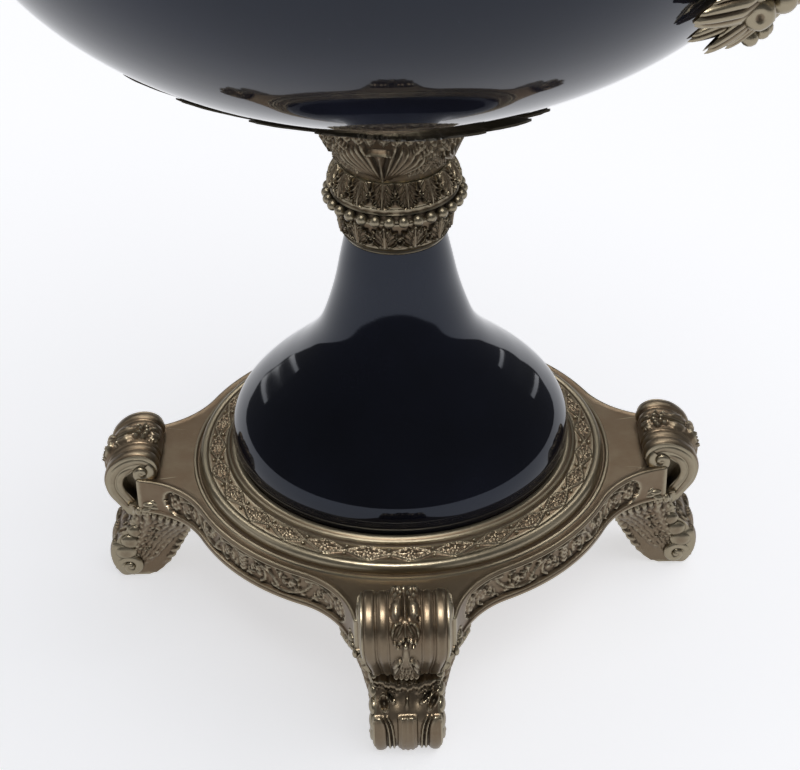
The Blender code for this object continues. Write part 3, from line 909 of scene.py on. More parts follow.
class Workshop:
    """The finishes, the trees and the placing of finished pieces."""

    def __init__(self) -> None:
        """Make the finishes and the trees once."""
        self.finish = {Slot.BRONZE: AntiqueBronze().make(), Slot.PORCELAIN: NavyGlaze().make()}
        self.round = ring_repeat_tree()
        self.lathe = turned_tree()
        self.pearl = pearl_tree()
        self.metalwork = bpy.data.collections.new("metalwork")
        self.shading = bpy.data.collections.new("shading")

    def turn(self, profile: np.ndarray, rows: int, segments: int,
             slot: Slot = Slot.BRONZE) -> bpy.types.Mesh:
        """Turn a profile on the lathe.

        Args:
            profile: (radius, height) points, closed or from axis to axis.
            rows: points along it.
            segments: segments round the axis.
            slot: its finish.

        Returns:
            The mesh.
        """
        line = bpy.data.meshes.new("profile")
        points = [(float(r), 0.0, float(z)) for r, z in profile]
        line.from_pydata(points, [(i, i + 1) for i in range(len(points) - 1)], [])
        return self.lathe.run(line, Rows=rows, Segments=segments + 1,
                              Material=self.finish[slot])

    def repeat(self, cell: Shell, count: int, start: float) -> bpy.types.Mesh:
        """Repeat a cell round the axis.

        Args:
            cell: the cell.
            count: copies.
            start: azimuth of the first, in radians.

        Returns:
            The welded mesh.
        """
        mesh = bpy.data.meshes.new("cell")
        mesh.from_pydata(np.vstack(cell.points).tolist(), [], cell.faces)
        return self.round.run(mesh, Count=count, Start=start,
                              Material=self.finish[Slot.BRONZE])

    def pearl_ring(self, radius: float, height: float, size: float, count: int,
                   start: float = 0.0, around: int = 8, rings: int = 6) -> bpy.types.Mesh:
        """Set a ring of pearls round the axis.

        Args:
            radius: the ring's radius.
            height: its height.
            size: a pearl's radius.
            count: pearls in the ring.
            start: azimuth of the first, in radians.
            around: segments round a pearl.
            rings: rings of faces from pole to pole.

        Returns:
            The pearls as one mesh.
        """
        mesh = bpy.data.meshes.new("seats")
        places = spun(radius, start + TAU * np.arange(count) / count, height)
        mesh.from_pydata(places.tolist(), [], [])
        store(mesh, "size", np.full(count, size))
        return self.pearl.run(mesh, Around=around, Rings=rings,
                              Material=self.finish[Slot.BRONZE])

    def place(self, name: str, meshes: Sequence[bpy.types.Mesh], slot: Slot = Slot.BRONZE,
              node: str = "", wear: tuple[float, float] | None = None, sharp: float = 42.0,
              age: Callable[[np.ndarray], np.ndarray] | float = 0.0) -> bpy.types.Object:
        """Finish a piece and put it on the body.

        Args:
            name: the piece's name.
            meshes: the meshes that it is made of.
            slot: its material slot.
            node: the node that it stands for, if not the one of its own name.
            wear: relief depth and shelter distance of its patina, painted shade and rubbing, in
                metres.
            sharp: angle over which an edge stays sharp, in degrees.
            age: how much painted shade darkens it, 0 to 1, or a rule that gives this from the
                points.

        Returns:
            The object.
        """
        work = bmesh.new()
        for mesh in meshes:
            work.from_mesh(mesh)
        whole = bpy.data.meshes.new(name)
        work.to_mesh(whole)
        work.free()
        tidied(whole)
        whole.shade_smooth()
        whole.set_sharp_from_angle(angle=math.radians(sharp))
        for extra in [a.name for a in whole.attributes if a.name in ("size", "UVMap")]:
            whole.attributes.remove(whole.attributes[extra])
        if wear:
            measure_wear_and_shade(whole, *wear)
            spots = vectors(whole.vertices, "co")
            # painted shade for places that lie in shadow
            store(whole, "age", age(spots) if callable(age) else np.full(len(spots), age))
        whole.materials.clear()
        whole.materials.append(self.finish[slot])
        return self.settle(name, whole, slot, node or name)

    def settle(self, name: str, mesh: bpy.types.Mesh, slot: Slot, node: str) -> bpy.types.Object:
        """Link a finished mesh as a piece that rides on the body and stands for a node.

        Args:
            name: the piece's name.
            mesh: its mesh.
            slot: its material slot.
            node: the node that it stands for.

        Returns:
            The object.
        """
        item = bpy.data.objects.new(name, mesh)
        bpy.context.scene.collection.objects.link(item)
        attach(item, "root")
        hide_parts(node)
        if slot is Slot.BRONZE:
            self.metalwork.objects.link(item)
            if node not in UNSHADING:
                self.shading.objects.link(item)
        triangles = sum(len(face.vertices) - 2 for face in mesh.polygons)
        LOG.info("%s: %d triangles", name, triangles)
        return item

    def turned_copy(self, item: bpy.types.Object, name: str, angle: float) -> bpy.types.Object:
        """Place a turned bronze copy of a piece.

        Args:
            item: the piece.
            name: the copy's name, which is also its node's.
            angle: turn about the axis in radians.

        Returns:
            The copy.
        """
        mesh = item.data.copy()
        mesh.name = name
        mesh.transform(Matrix.Rotation(angle, 4, "Z"))
        mesh.update()
        return self.settle(name, mesh, Slot.BRONZE, name)


# --- plinth ---
@dataclass
class Plinth:
    """The four-armed plinth with carved side panels."""

    top: float
    bottom: float
    arm: float = 0.130
    body: float = 0.1072
    sweep: float = 0.0443
    sweep_out: float = 0.136
    waist: float = 0.0225
    corner: float = 0.0009
    recess: float = 0.0015
    panel_end: float = 15.0
    steps: int = 860

    def outline(self) -> np.ndarray:
        """The outline, evenly stepped, starting in the middle of the arm along +X."""
        centre_y = self.waist + self.sweep
        start = math.atan2(-centre_y, -self.sweep_out)
        end = -math.acos((self.arm - self.sweep_out) / self.sweep)
        side = arc((self.sweep_out, centre_y), self.sweep, np.linspace(start, end, 60))
        corner = arc((self.arm - self.corner, side[-1, 1] - self.corner), self.corner,
                     np.linspace(0.0, math.pi / 2, 7))
        first = math.atan2(side[0, 1], side[0, 0])
        round_part = arc((0.0, 0.0), self.body,
                         np.linspace(first, math.pi / 2 - first, 60)[1:-1])
        keep = side[::-1][side[::-1][:, 0] < self.arm - 1.5 * self.corner]
        half = np.vstack([[(self.arm, 0.0)], corner, keep])
        lower = half[1:] * (1.0, -1.0)
        next_arm = np.stack([-lower[::-1, 1], lower[::-1, 0]], 1)
        quarter = np.vstack([half, round_part, next_arm])
        turns = []
        for k in range(4):
            c, s = math.cos(k * math.pi / 2), math.sin(k * math.pi / 2)
            turns.append(quarter @ np.array(((c, s), (-s, c))))
        line = np.vstack([*turns, turns[0][:1]])
        return resample(line, np.linspace(0.0, lengths(line)[-1], self.steps, endpoint=False))

    def rinceau(self, half: float) -> Carving:
        """Scrolling leaf stem for one panel, drawn about its middle.

        Args:
            half: half length of the panel in millimetres.

        Returns:
            The carving.
        """
        art = Carving()
        pitch = half / 3.3
        for k in range(3):
            middle = pitch * (0.62 + k)
            sign = 1.0 if k % 2 else -1.0
            art.curl((middle, 0.2 * sign), math.pi * (0.5 if sign > 0 else -0.5),
                     -1.15 * sign, 3.9, 0.75, 1.0)
            art.flower(middle, 0.2 * sign, 2.1, 1.25, 5, 20.0 * k)
            art.leaf((middle - 0.45 * pitch, 3.2 * sign), -28.0 * sign, 9.0, 2.6, 1.05, 3,
                     -35.0 * sign)
            art.leaf((middle + 0.30 * pitch, -3.4 * sign), 150.0 * sign, 6.0, 2.2, 0.95, 3,
                     30.0 * sign)
            art.stroke(((middle - 0.62 * pitch, -3.2 * sign), (middle - 0.2 * pitch, -4.1 * sign),
                        (middle + 0.3 * pitch, -1.5 * sign), (middle + 0.55 * pitch, 2.8 * sign)),
                       (0.8, 0.7, 0.8), (0.9, 1.0, 0.9))
            art.dot(middle + 0.5 * pitch, -4.1 * sign, 0.8, 1.0)
            art.dot(middle + 0.62 * pitch, -3.0 * sign, 0.6, 0.9)
        art.leaf((0.0, -4.6), 90.0, 9.0, 3.4, 1.2, 4)
        art.flower(half - 4.4, 0.0, 3.6, 1.35, 6)
        art.leaf((half - 8.2, 0.0), 180.0, 5.6, 3.0, 1.0, 3)
        return art.mirrored()

    def panel(self, u: np.ndarray, v: np.ndarray, half: float,
              edges: tuple[float, float]) -> np.ndarray:
        """How far a side stands out: a sunk, round-ended panel of carving with a raised border.

        Args:
            u: distance along the side from the panel's middle, in millimetres.
            v: height over the plinth's top.
            half: half the panel's length.
            edges: its lower and upper edge.

        Returns:
            Distances in millimetres.
        """
        middle, tall = sum(edges) / 2, (edges[1] - edges[0]) / 2
        end = np.clip(half - np.abs(u), 0.0, tall)
        within = np.sqrt(np.clip(tall ** 2 - (tall - end) ** 2, 0.0, None)) - np.abs(v - middle)
        inside = ease(within, 0.0, 0.55) * (np.abs(u) < half)
        border = 0.45 * ease(within, -0.9, -0.2) * (1 - inside) * (np.abs(u) < half + 0.8)
        art = self.rinceau(half - 1.5).over(u, (v - middle) / 1.34)
        stipple = 0.10 * np.sin(u * 5.1) * np.sin(v * 5.7 + u)
        return -self.recess / MM * inside + border + inside * (1.5 * art + stipple * (art < 0.05))

    def deck(self, line: np.ndarray, out: np.ndarray) -> np.ndarray:
        """Rings of the plain top, from its covered middle to the fine roll at its edge.

        Args:
            line: the outline.
            out: its outward directions.

        Returns:
            The rings, array (rings, points, 3).
        """
        far = float(np.linalg.norm(line, axis=1).max())
        flats = [(line * (1.0 - inset / far), 0.0) for inset in (0.0505, 0.020, 0.010)]
        flats += [(line - out * inset, rise) for inset, rise in (
            (0.004, 0.0), (0.0022, 0.0), (0.0015, 0.00022), (0.0009, 0.00028))]
        return np.array([np.column_stack([flat, np.full(self.steps, self.top + rise)])
                         for flat, rise in flats])

    def build(self, shop: Workshop) -> bpy.types.Object:
        """Build the body with its panels.

        Args:
            shop: finishes and placing.

        Returns:
            The piece.
        """
        line = self.outline()
        ahead = unit(np.roll(line, -1, 0) - np.roll(line, 1, 0))
        out = np.stack([ahead[:, 1], -ahead[:, 0]], 1)
        run = lengths(line)
        quarter = (run[-1] + float(np.linalg.norm(line[-1] - line[0]))) / 4
        half = quarter / 2 / MM - self.waist / MM - self.panel_end
        thick = (self.top - self.bottom) / MM
        low, high = -thick + 2.3, -1.5
        depth = np.concatenate([np.linspace(0.0, high, 8)[:-1], np.linspace(high, low, 26),
                                np.linspace(low, -thick, 13)[1:]])
        u = np.broadcast_to((np.mod(run, quarter) - quarter / 2) / MM, (len(depth), self.steps))
        v = np.broadcast_to(depth[:, None], u.shape)
        push = self.panel(u, v, half, (low, high)) + 0.75 * ease(-v, thick - 1.9, thick - 1.4)
        push = push - 0.35 * ease(v, -0.45, 0.0)
        wall = np.concatenate([line + out * (push * MM)[..., None],
                               (self.top + v * MM)[..., None]], -1)
        under = np.column_stack([line * 0.9, np.full(self.steps, self.bottom)])
        shell = Shell().loops(np.concatenate([self.deck(line, out), wall, under[None]]))
        return shop.place("plinth", [shell.mesh("plinth")], wear=(0.0007, 0.004))


@dataclass
class FootRing:
    """The turned ring round the pedestal, with its frieze of flowered lozenges and pearls."""

    top: float
    count: int = 28
    start: float = -94.1
    inner: float = 0.0865
    outer: float = 0.0951
    pearl: float = 0.00095
    pearl_offset: float = 0.0021
    cell_steps: int = 58
    rows: int = 25

    def moulding(self) -> np.ndarray:
        """Section of the ring, from its hidden foot over its tori and back, closed."""
        shape = ((79.7, -1.5), (79.7, 6.0), (80.3, 8.2), (81.6, 9.0), (83.0, 8.8), (84.0, 8.0),
                 (84.25, 8.35), (84.9, 8.55), (85.5, 8.1), (85.7, 7.0), (86.0, 6.15),
                 (86.6, 5.75), (88.0, 5.45), (91.0, 5.0), (94.0, 4.55), (95.2, 4.35), (95.6, 5.0),
                 (96.2, 5.35), (97.4, 5.45), (98.6, 4.9), (99.4, 3.6), (99.75, 1.8), (99.9, 0.2),
                 (100.5, -0.25), (101.0, 0.15), (101.3, 0.7), (102.0, 0.85), (102.7, 0.65),
                 (103.0, 0.0), (103.0, -1.5), (91.0, -1.5), (79.7, -1.5))
        line = spline(shape, 5) * MM
        return np.column_stack([line[:, 0], line[:, 1] + self.top])

    def height_at(self, radius: np.ndarray) -> np.ndarray:
        """Height of the frieze's ground."""
        return self.top + (6.05 - 0.165 * (radius / MM - 86.5)) * MM

    def art(self, width: float) -> Carving:
        """One lozenge with a flower and leaves in it.

        Args:
            width: the cell's width in millimetres.

        Returns:
            The carving on (along, across) in millimetres.
        """
        side = width / 2
        art = Carving()
        for gap in (-0.36, 0.36):
            for sign in (-1, 1):
                art.stroke(((0.0, sign * (3.5 + gap)), (side * 0.32, sign * (2.65 + gap)),
                            (side * 0.7, sign * (1.05 + gap)), (side + 0.2, sign * gap * 0.6)),
                           (0.38, 0.38, 0.42), (0.70, 0.74, 0.80))
        art.leaf((1.8, 0.0), 0.0, 5.6, 2.0, 0.62, 2)
        art.leaf((1.5, 0.8), 62.0, 2.9, 1.4, 0.65, 2)
        art.leaf((1.5, -0.8), -62.0, 2.9, 1.4, 0.65, 2)
        art.mirrored()
        art.flower(0.0, 0.0, 2.35, 1.15, 5, 0.0)
        return art

    def build(self, shop: Workshop) -> bpy.types.Object:
        """Build the ring.

        Args:
            shop: finishes, trees and placing.

        Returns:
            The piece.
        """
        step = TAU / self.count
        middle = (self.inner + self.outer) / 2
        width = step * middle / MM
        share = np.linspace(-0.5, 0.5, self.cell_steps + 1)
        radius = np.linspace(self.inner, self.outer, self.rows)
        u, r = np.meshgrid(share * width, radius, indexing="ij")
        v = (r - middle) / MM
        height = self.art(width).over(u, v)
        rough = 0.04 * np.sin(u * 6.3 + 1.0) * np.sin(v * 6.9) * (height < 0.05)
        height = (height + rough) * ease(4.15 - np.abs(v), 0.0, 0.25) * MM
        angle = (share * step)[:, None]
        top = spun(r, angle, self.height_at(r) + height)
        low = spun(r, angle, self.top + 0.002)[:, ::-1][:, [0, -1]]
        cell = Shell().loops(np.concatenate([top, low], axis=1), capped=False)
        start = math.radians(self.start)
        meshes = [shop.turn(self.moulding(), 76, 200),
                  shop.repeat(cell, self.count, start + step / 2)]
        for across in (-self.pearl_offset, self.pearl_offset):
            seat = float(self.height_at(np.array(middle + across))) + 0.0004
            meshes.append(shop.pearl_ring(middle + across, seat, self.pearl, self.count, start,
                                          9, 6))
        return shop.place("plinth_ring", meshes, node="plinth", wear=(0.00035, 0.003))


# --- porcelain ---
@dataclass
class Pedestal:
    """The glazed pedestal: a slender neck that swells into a wide foot."""

    base: float
    outline: tuple[tuple[float, float], ...] = (
        (0.0235, 0.124), (0.0262, 0.112), (0.0290, 0.099), (0.0325, 0.087), (0.0368, 0.0755),
        (0.0417, 0.0675), (0.0488, 0.0593), (0.0589, 0.050), (0.0700, 0.040), (0.0779, 0.031),
        (0.0818, 0.0225), (0.0824, 0.0150), (0.0808, 0.0105), (0.0791, 0.0075),
        (0.0785, 0.0003))
    wall: float = 0.005

    def build(self, shop: Workshop) -> bpy.types.Object:
        """Build the pedestal.

        Args:
            shop: finishes, trees and placing.

        Returns:
            The piece.
        """
        outer = spline(self.outline, 8)
        inner = outer - leftward(outer) * self.wall
        inner[:, 1] = np.clip(inner[:, 1], outer[-1, 1], outer[0, 1])
        profile = np.vstack([outer, inner[::-6], outer[:1]])
        profile[:, 1] += self.base
        mesh = shop.turn(profile, 130, 144, Slot.PORCELAIN)
        return shop.place("pedestal", [mesh], Slot.PORCELAIN)


@dataclass
class Bowl:
    """The deep glazed bowl."""

    radius: float
    bottom: float
    lip: float
    depth: float = 0.1266
    wall: float = 0.006
    floor: float = 0.024

    def section(self, radius: float, depth: float) -> np.ndarray:
        """Half an ellipse from the rim down to the middle.

        Args:
            radius: its half width.
            depth: its half height.

        Returns:
            (radius, height) points.
        """
        centre = self.bottom + self.depth
        angle = np.linspace(math.pi / 2, 0.0, 70)
        r, z = radius * np.sin(angle), centre - depth * np.cos(angle)
        flat = centre - depth + (1.0 - math.cos(math.asin(self.floor / radius))) * depth * 0.35
        return np.column_stack([r, np.maximum(z, flat)])

    def build(self, shop: Workshop) -> bpy.types.Object:
        """Build the bowl.

        Args:
            shop: finishes, trees and placing.

        Returns:
            The piece.
        """
        outer = self.section(self.radius, self.depth)
        inner = self.section(self.radius - self.wall, self.depth - self.wall)
        lip = np.array(((self.radius - self.wall, self.lip - 0.0008),
                        (self.radius - self.wall / 2, self.lip), (self.radius, self.lip - 0.0008)))
        profile = np.vstack([inner[::-1], lip, outer])
        mesh = shop.turn(profile, 120, 180, Slot.PORCELAIN)
        return shop.place("bowl", [mesh], Slot.PORCELAIN, sharp=60.0)


@dataclass
class RimBand:
    """The bronze band that caps the lip, with a row of small beads under its roll."""

    inside: float
    outside: float
    low: float
    high: float
    beads: int = 150
    bead: float = 0.0017

    def build(self, shop: Workshop) -> bpy.types.Object:
        """Build the band.

        Args:
            shop: finishes, trees and placing.

        Returns:
            The piece.
        """
        wall = self.outside - 0.0042
        z = self.high
        shape = ((self.inside, self.low + 0.0100), (self.inside + 0.0004, z - 0.0026),
                 (self.inside + 0.0022, z - 0.0004), (self.inside + 0.0042, z),
                 (wall - 0.0008, z - 0.0004), (wall + 0.0002, z - 0.0018),
                 (self.outside - 0.0024, z - 0.0022), (self.outside - 0.0006, z - 0.0034),
                 (self.outside, z - 0.0052), (self.outside - 0.0006, z - 0.0070),
                 (self.outside - 0.0022, z - 0.0082), (wall + 0.0014, z - 0.0086),
                 (wall + 0.0010, z - 0.0110), (wall + 0.0016, z - 0.0136),
                 (wall + 0.0018, z - 0.0141), (wall + 0.0010, self.low), (wall, self.low),
                 (wall, self.low + 0.0100), (self.inside, self.low + 0.0100))
        body = shop.turn(spline(shape, 5), 70, 200)
        pearls = shop.pearl_ring(wall + 0.0014, z - 0.0110, self.bead, self.beads)
        return shop.place("rim_band", [body, pearls], wear=(0.0008, 0.003))


# --- collar and calyx ---
@dataclass
class NeckCollar:
    """Hanging leaves over a ring of beads and a band of small upright palmettes."""

    base: float
    turn: float
    leaves: int = 16
    beads: int = 30
    bead: float = 0.00262
    palmettes: int = 12

    def skin(self, profile: Sequence[tuple[float, float]], count: int, steps: int, rows: int,
             draw: Callable[[float], Carving], depth: float) -> Shell:
        """One cell of a carved band, open at both sides.

        Args:
            profile: outer side as (radius, height over the base) in millimetres, top first.
            count: cells round the axis.
            steps: steps across a cell.
            rows: rows over its height.
            draw: gives the carving for the cell's width in millimetres.
            depth: how far the hidden back lies inside the ground, in millimetres.

        Returns:
            The cell.
        """
        line = spline(profile, 8)
        run = np.linspace(0.0, lengths(line)[-1], rows)
        section = resample(line, run)
        out = leftward(section)
        share = np.linspace(-0.5, 0.5, steps + 1)
        width = TAU / count * float(section[:, 0].max())
        u, v = np.meshgrid(share * width, run - run[-1] / 2, indexing="ij")
        height = draw(width).over(u, v) * np.minimum(ease(v, v.min(), v.min() + 0.4),
                                                     ease(-v, -v.max(), -v.max() + 0.4))
        angle = (share * TAU / count)[:, None]
        top = spun(section[:, 0] + out[:, 0] * height, angle, section[:, 1] + out[:, 1] * height)
        back = section[::-1][[0, -1]] - np.array((depth, 0.0))
        low = spun(back[:, 0], angle, back[:, 1])
        rings = np.concatenate([top, low], axis=1) * MM
        rings[..., 2] += self.base
        return Shell().loops(rings, capped=False)

    @staticmethod
    def hanging_leaf(width: float) -> Carving:
        """A broad leaf that hangs down the waist, with a ruffled, curled edge.

        Args:
            width: the cell's width in millimetres.

        Returns:
            The carving.
        """
        art = Carving()
        wide = width / 11.2
        art.stroke(((0.0, -6.8), (0.0, -1.0), (0.0, 2.4)), (4.4, 4.8, 3.4), (0.9, 1.2, 1.1))
        edge = ((5.2, -6.6), (5.0, -3.6), (4.3, -1.9), (5.6, -0.6), (5.2, 1.4), (3.9, 1.7),
                (4.5, 3.4), (3.4, 4.4), (2.3, 3.4), (2.2, 5.3), (1.0, 4.9), (0.0, 6.2))
        art.ragged(edge, wide, (0.36, 0.36), (2.0, 2.1))
        art.veins((0.5, -6.4), ((4.6, -3.0), (4.7, 0.8), (3.6, 3.4), (1.6, 4.4)), -2.2, wide,
                  (0.36, 0.44, 0.36), (1.5, 1.8, 1.6))
        return art.mirrored().stroke(((0.0, -6.6), (0.0, 5.4)), (0.85, 0.6), (2.3, 2.0))

    @staticmethod
    def palmette(width: float) -> Carving:
        """A broad upright leaf with pointed lobes, between small curls.

        Args:
            width: the cell's width in millimetres.

        Returns:
            The carving.
        """
        art = Carving()
        wide = width / 14.0
        art.stroke(((0.0, 3.8), (0.0, 0.4), (0.0, -2.2)), (4.4, 5.6, 3.6), (0.9, 1.2, 1.1))
        edge = ((1.6, 5.2), (4.2, 4.9), (6.2, 3.2), (5.0, 2.0), (6.9, -0.4), (5.2, -0.9),
                (5.7, -3.3), (3.5, -2.6), (2.8, -4.9), (1.4, -3.6), (0.0, -6.0))
        art.ragged(edge, wide, (0.34, 0.40), (1.7, 2.0))
        art.veins((0.3, 4.8), ((5.2, 2.9), (5.8, -0.3), (4.7, -2.7), (2.3, -4.0)), 1.6, wide,
                  (0.42, 0.40, 0.32), (1.6, 1.8, 1.7))
        art.dot(7.0 * wide, 4.6, 1.3, 1.5).dot(7.0 * wide, 1.6, 0.9, 1.2)
        return art.mirrored().stroke(((0.0, 5.2), (0.0, -5.4)), (0.85, 0.5), (2.1, 1.9))

    def build(self, shop: Workshop) -> bpy.types.Object:
        """Build the collar.

        Args:
            shop: finishes, trees and placing.

        Returns:
            The piece.
        """
        leaf_line = ((24.6, 161.0), (25.9, 158.5), (27.7, 155.6), (28.9, 152.6), (28.8, 150.4))
        band_line = ((26.4, 141.2), (26.1, 138.0), (25.2, 133.0), (24.5, 127.3))
        start = math.radians(-90.0 + self.turn)
        leaves = shop.repeat(self.skin(leaf_line, self.leaves, 40, 46, self.hanging_leaf, 6.0),
                             self.leaves, start)
        band = shop.repeat(self.skin(band_line, self.palmettes, 44, 38, self.palmette, 5.0),
                           self.palmettes, start)
        core = ((0.0, 161.0), (24.9, 161.0), (25.2, 159.6), (26.0, 158.0), (26.8, 152.0),
                (28.3, 150.6), (29.0, 150.0), (29.2, 149.3), (28.6, 148.6), (29.3, 148.0),
                (29.7, 147.2), (28.2, 146.9), (28.0, 144.4), (28.9, 143.6), (28.3, 142.7),
                (26.8, 141.8), (26.0, 140.4), (24.4, 138.0), (24.0, 129.0), (24.2, 127.4),
                (24.8, 127.2), (25.2, 126.7), (24.8, 126.2), (24.0, 125.8), (23.7, 125.2),
                (23.6, 124.3), (0.0, 124.3))
        profile = np.array(core) * MM
        profile[:, 1] += self.base
        body = shop.turn(profile, 90, 120)
        beads = shop.pearl_ring(0.0309, self.base + 0.1448, self.bead, self.beads,
                                start + math.pi / self.beads, 14, 9)
        # a little painted shade for the bowl's shadow over the collar
        return shop.place("neck_collar", [body, leaves, band, beads], wear=(0.0006, 0.004),
                          age=0.16)


@dataclass
class LeafCalyx:
    """The open calyx: a carved cup with four broad leaves under the bowl."""

    base: float
    top: float
    bowl_centre: float
    bowl_radius: float
    bowl_depth: float
    turn: float
    cup_base: float
    long_leaf: float = 0.128
    short_leaf: float = 0.095
    valley: float = 0.052
    root: float = 0.040
    seat: float = 0.030
    thick: float = 0.0019
    columns: int = 560

    def reach(self, azimuth: np.ndarray) -> np.ndarray:
        """How far out the leaves reach, with their lobes and teeth.

        Args:
            azimuth: directions in radians.

        Returns:
            Radii.
        """
        step = math.pi / 2
        away = np.abs(np.mod(azimuth + step / 2, step) - step / 2) / (step / 2)
        length = self.short_leaf + (self.long_leaf - self.short_leaf) * np.sin(azimuth) ** 2
        body = self.valley + (length - self.valley) * (1.0 - away ** 1.5)
        notch = (0.5 - 0.5 * np.cos(8 * math.pi * away)) ** 1.5 * ease(away, 0.02, 0.2)
        teeth = 0.5 - 0.5 * np.cos(40 * math.pi * away)
        cut = 0.017 * (1.0 - 0.55 * ease(away, 0.5, 1.0))
        return body - cut * notch - 0.0024 * teeth * ease(away, 0.0, 0.12)

    def under(self, radius: np.ndarray) -> np.ndarray:
        """Height of the leaves' underside, drawing closer to the bowl towards the tips.

        Args:
            radius: distances from the axis.

        Returns:
            Heights.
        """
        bowl = self.bowl_centre - self.bowl_depth * np.sqrt(
            1.0 - (radius / self.bowl_radius) ** 2)
        share = np.minimum((radius - self.root) / (self.long_leaf - self.root), 1.0)
        return bowl - self.thick * (1.0 - 0.5 * share) - (0.0005 + 0.0125 * (1.0 - share) ** 2.4)

    def cup_art(self) -> Carving:
        """Carving of a quarter of the cup, centred on its plain tongue."""
        art = Carving()
        art.stroke(((-4.9, 9.2), (-2.8, 8.0), (0.0, 7.7)), (0.8, 1.1, 1.2), (2.6, 3.0, 3.1))
        art.stroke(((0.0, 9.5), (0.0, 14.0), (0.0, 19.0)), (3.0, 2.0, 0.9), (2.0, 1.9, 1.8))
        art.stroke(((2.6, 25.5), (6.8, 18.5), (11.0, 12.0)), (2.0, 4.2, 4.6), (1.2, 1.6, 1.6))
        art.stroke(((0.0, 10.0), (0.0, 20.0), (0.0, 28.0)), (0.8, 0.9, 1.3), (2.6, 2.4, 2.6))
        for k in range(6):
            end = (5.9 + 2.3 * k, 5.0 + 1.9 * k)
            art.stroke(((1.0 + 0.5 * k, 25.5 - 0.2 * k), (3.1 + 1.5 * k, 19.0 + 0.3 * k),
                        (4.9 + 2.2 * k, 11.0 + 1.3 * k), end), (0.7, 1.1, 1.25, 0.7),
                       (1.7, 2.5, 2.6, 2.9))
            art.stroke((end, (end[0] + 0.4, end[1] - 1.9)), (0.9, 0.4), (2.8, 2.0))
        for k in range(4):
            art.leaf((13.0 + 2.6 * k, 9.5 + 3.6 * k), -58.0 + 14.0 * k, 7.6, 2.9, 2.5, 3, -16.0)
        for k in range(5):
            art.leaf((12.0 + 2.5 * k, 23.5 - 0.4 * k), -28.0 - 11.0 * k, 8.0, 2.6, 2.3, 3, -14.0)
        for k in range(6):
            art.leaf((2.2 + 4.0 * k, 1.6 + 0.5 * (k % 2)), -84.0 + 5.0 * k, 4.6, 2.3, 2.2, 2, 12.0)
        for k in range(5):
            art.dot(20.5 - 0.5 * k, 5.0 + 4.4 * k, 1.2, 2.4)
        return art.mirrored()

    def leaf_rings(self, azimuth: np.ndarray) -> list[np.ndarray]:
        """Rings of points over the leaves' upper side, round their edge and back underneath.

        Args:
            azimuth: directions of a ring's points, in radians.

        Returns:
            The rings.
        """
        near = np.mod(azimuth + math.pi / 4, math.pi / 2) - math.pi / 4
        veins = 0.5 + 0.5 * np.cos(near * 44.0)
        centre = np.exp(-(near / 0.05) ** 2)
        short = np.cos(azimuth) ** 4
        span = self.reach(azimuth) - self.root
        shares = np.linspace(0.0, 1.0, 22)
        rings = []
        for share in shares:
            radius = self.root + span * share
            carve = (0.0009 * veins + 0.0011 * centre) * math.sin(math.pi * min(share + .08, 1.0))
            curl = -0.0012 * ease(share, 0.86, 1.0) - 0.0022 * ease(share, 0.5, 1.0) * short
            z = self.under(radius) + self.thick - 0.0009 + carve * 0.6 + curl
            rings.append(spun(radius, azimuth, z))
        for share in shares[::-1]:
            radius = self.root + span * share
            carve = (0.0012 * veins + 0.0014 * centre) * math.sin(math.pi * min(share + .1, 1.0))
            lip = 0.0009 * ease(share, 0.90, 1.0) + 0.0026 * ease(share, 0.3, 1.0) * short
            rings.append(spun(radius, azimuth, self.under(radius) - carve * 0.7 - lip))
        return rings

    def cup_rings(self, azimuth: np.ndarray) -> list[np.ndarray]:
        """Rings of points down the carved cup.

        Args:
            azimuth: directions of a ring's points, in radians.

        Returns:
            The rings.
        """
        cup = spline(((0.0385, 0.1905), (0.0335, 0.1820), (0.0298, 0.1745), (0.0270, 0.1680),
                      (0.0252, 0.1640), (0.0245, 0.1613)), 14)
        tongue = np.mod(azimuth, math.pi / 2) - math.pi / 4
        u, v = np.broadcast_arrays(tongue * 0.0285 / MM, lengths(cup)[:, None] / MM - 3.5)
        height = self.cup_art().over(u, v) * ease(28.0 - v, 0.0, 1.2) * MM
        carved = cup[..., None] + leftward(cup)[..., None] * height[:, None]
        return list(spun(carved[:, 0], azimuth, self.base + carved[:, 1]))

    def build(self, shop: Workshop) -> bpy.types.Object:
        """Build the calyx.

        Args:
            shop: finishes and placing.

        Returns:
            The piece.
        """
        azimuth = TAU * np.arange(self.columns) / self.columns
        rings = [spun(radius, azimuth, height) for radius, height in (
            (0.004, self.top), (self.seat, self.top), (0.0335, self.base + 0.1992),
            (0.0365, self.base + 0.1965))]
        rings += self.leaf_rings(azimuth) + self.cup_rings(azimuth)
        rings += [spun(radius, azimuth, self.cup_base) for radius in (0.0245, 0.004)]
        points = turned_about_axis(np.array(rings), math.radians(self.turn - 45.0))
        shell = Shell().loops(points)

        def age(spots: np.ndarray) -> np.ndarray:
            """Painted shade, deeper out on the leaves under the bowl than on the cup."""
            return 0.28 + 0.64 * ease(np.hypot(spots[:, 0], spots[:, 1]), 0.036, 0.050)

        return shop.place("leaf_calyx", [shell.mesh("calyx")], wear=(0.0009, 0.005), age=age)


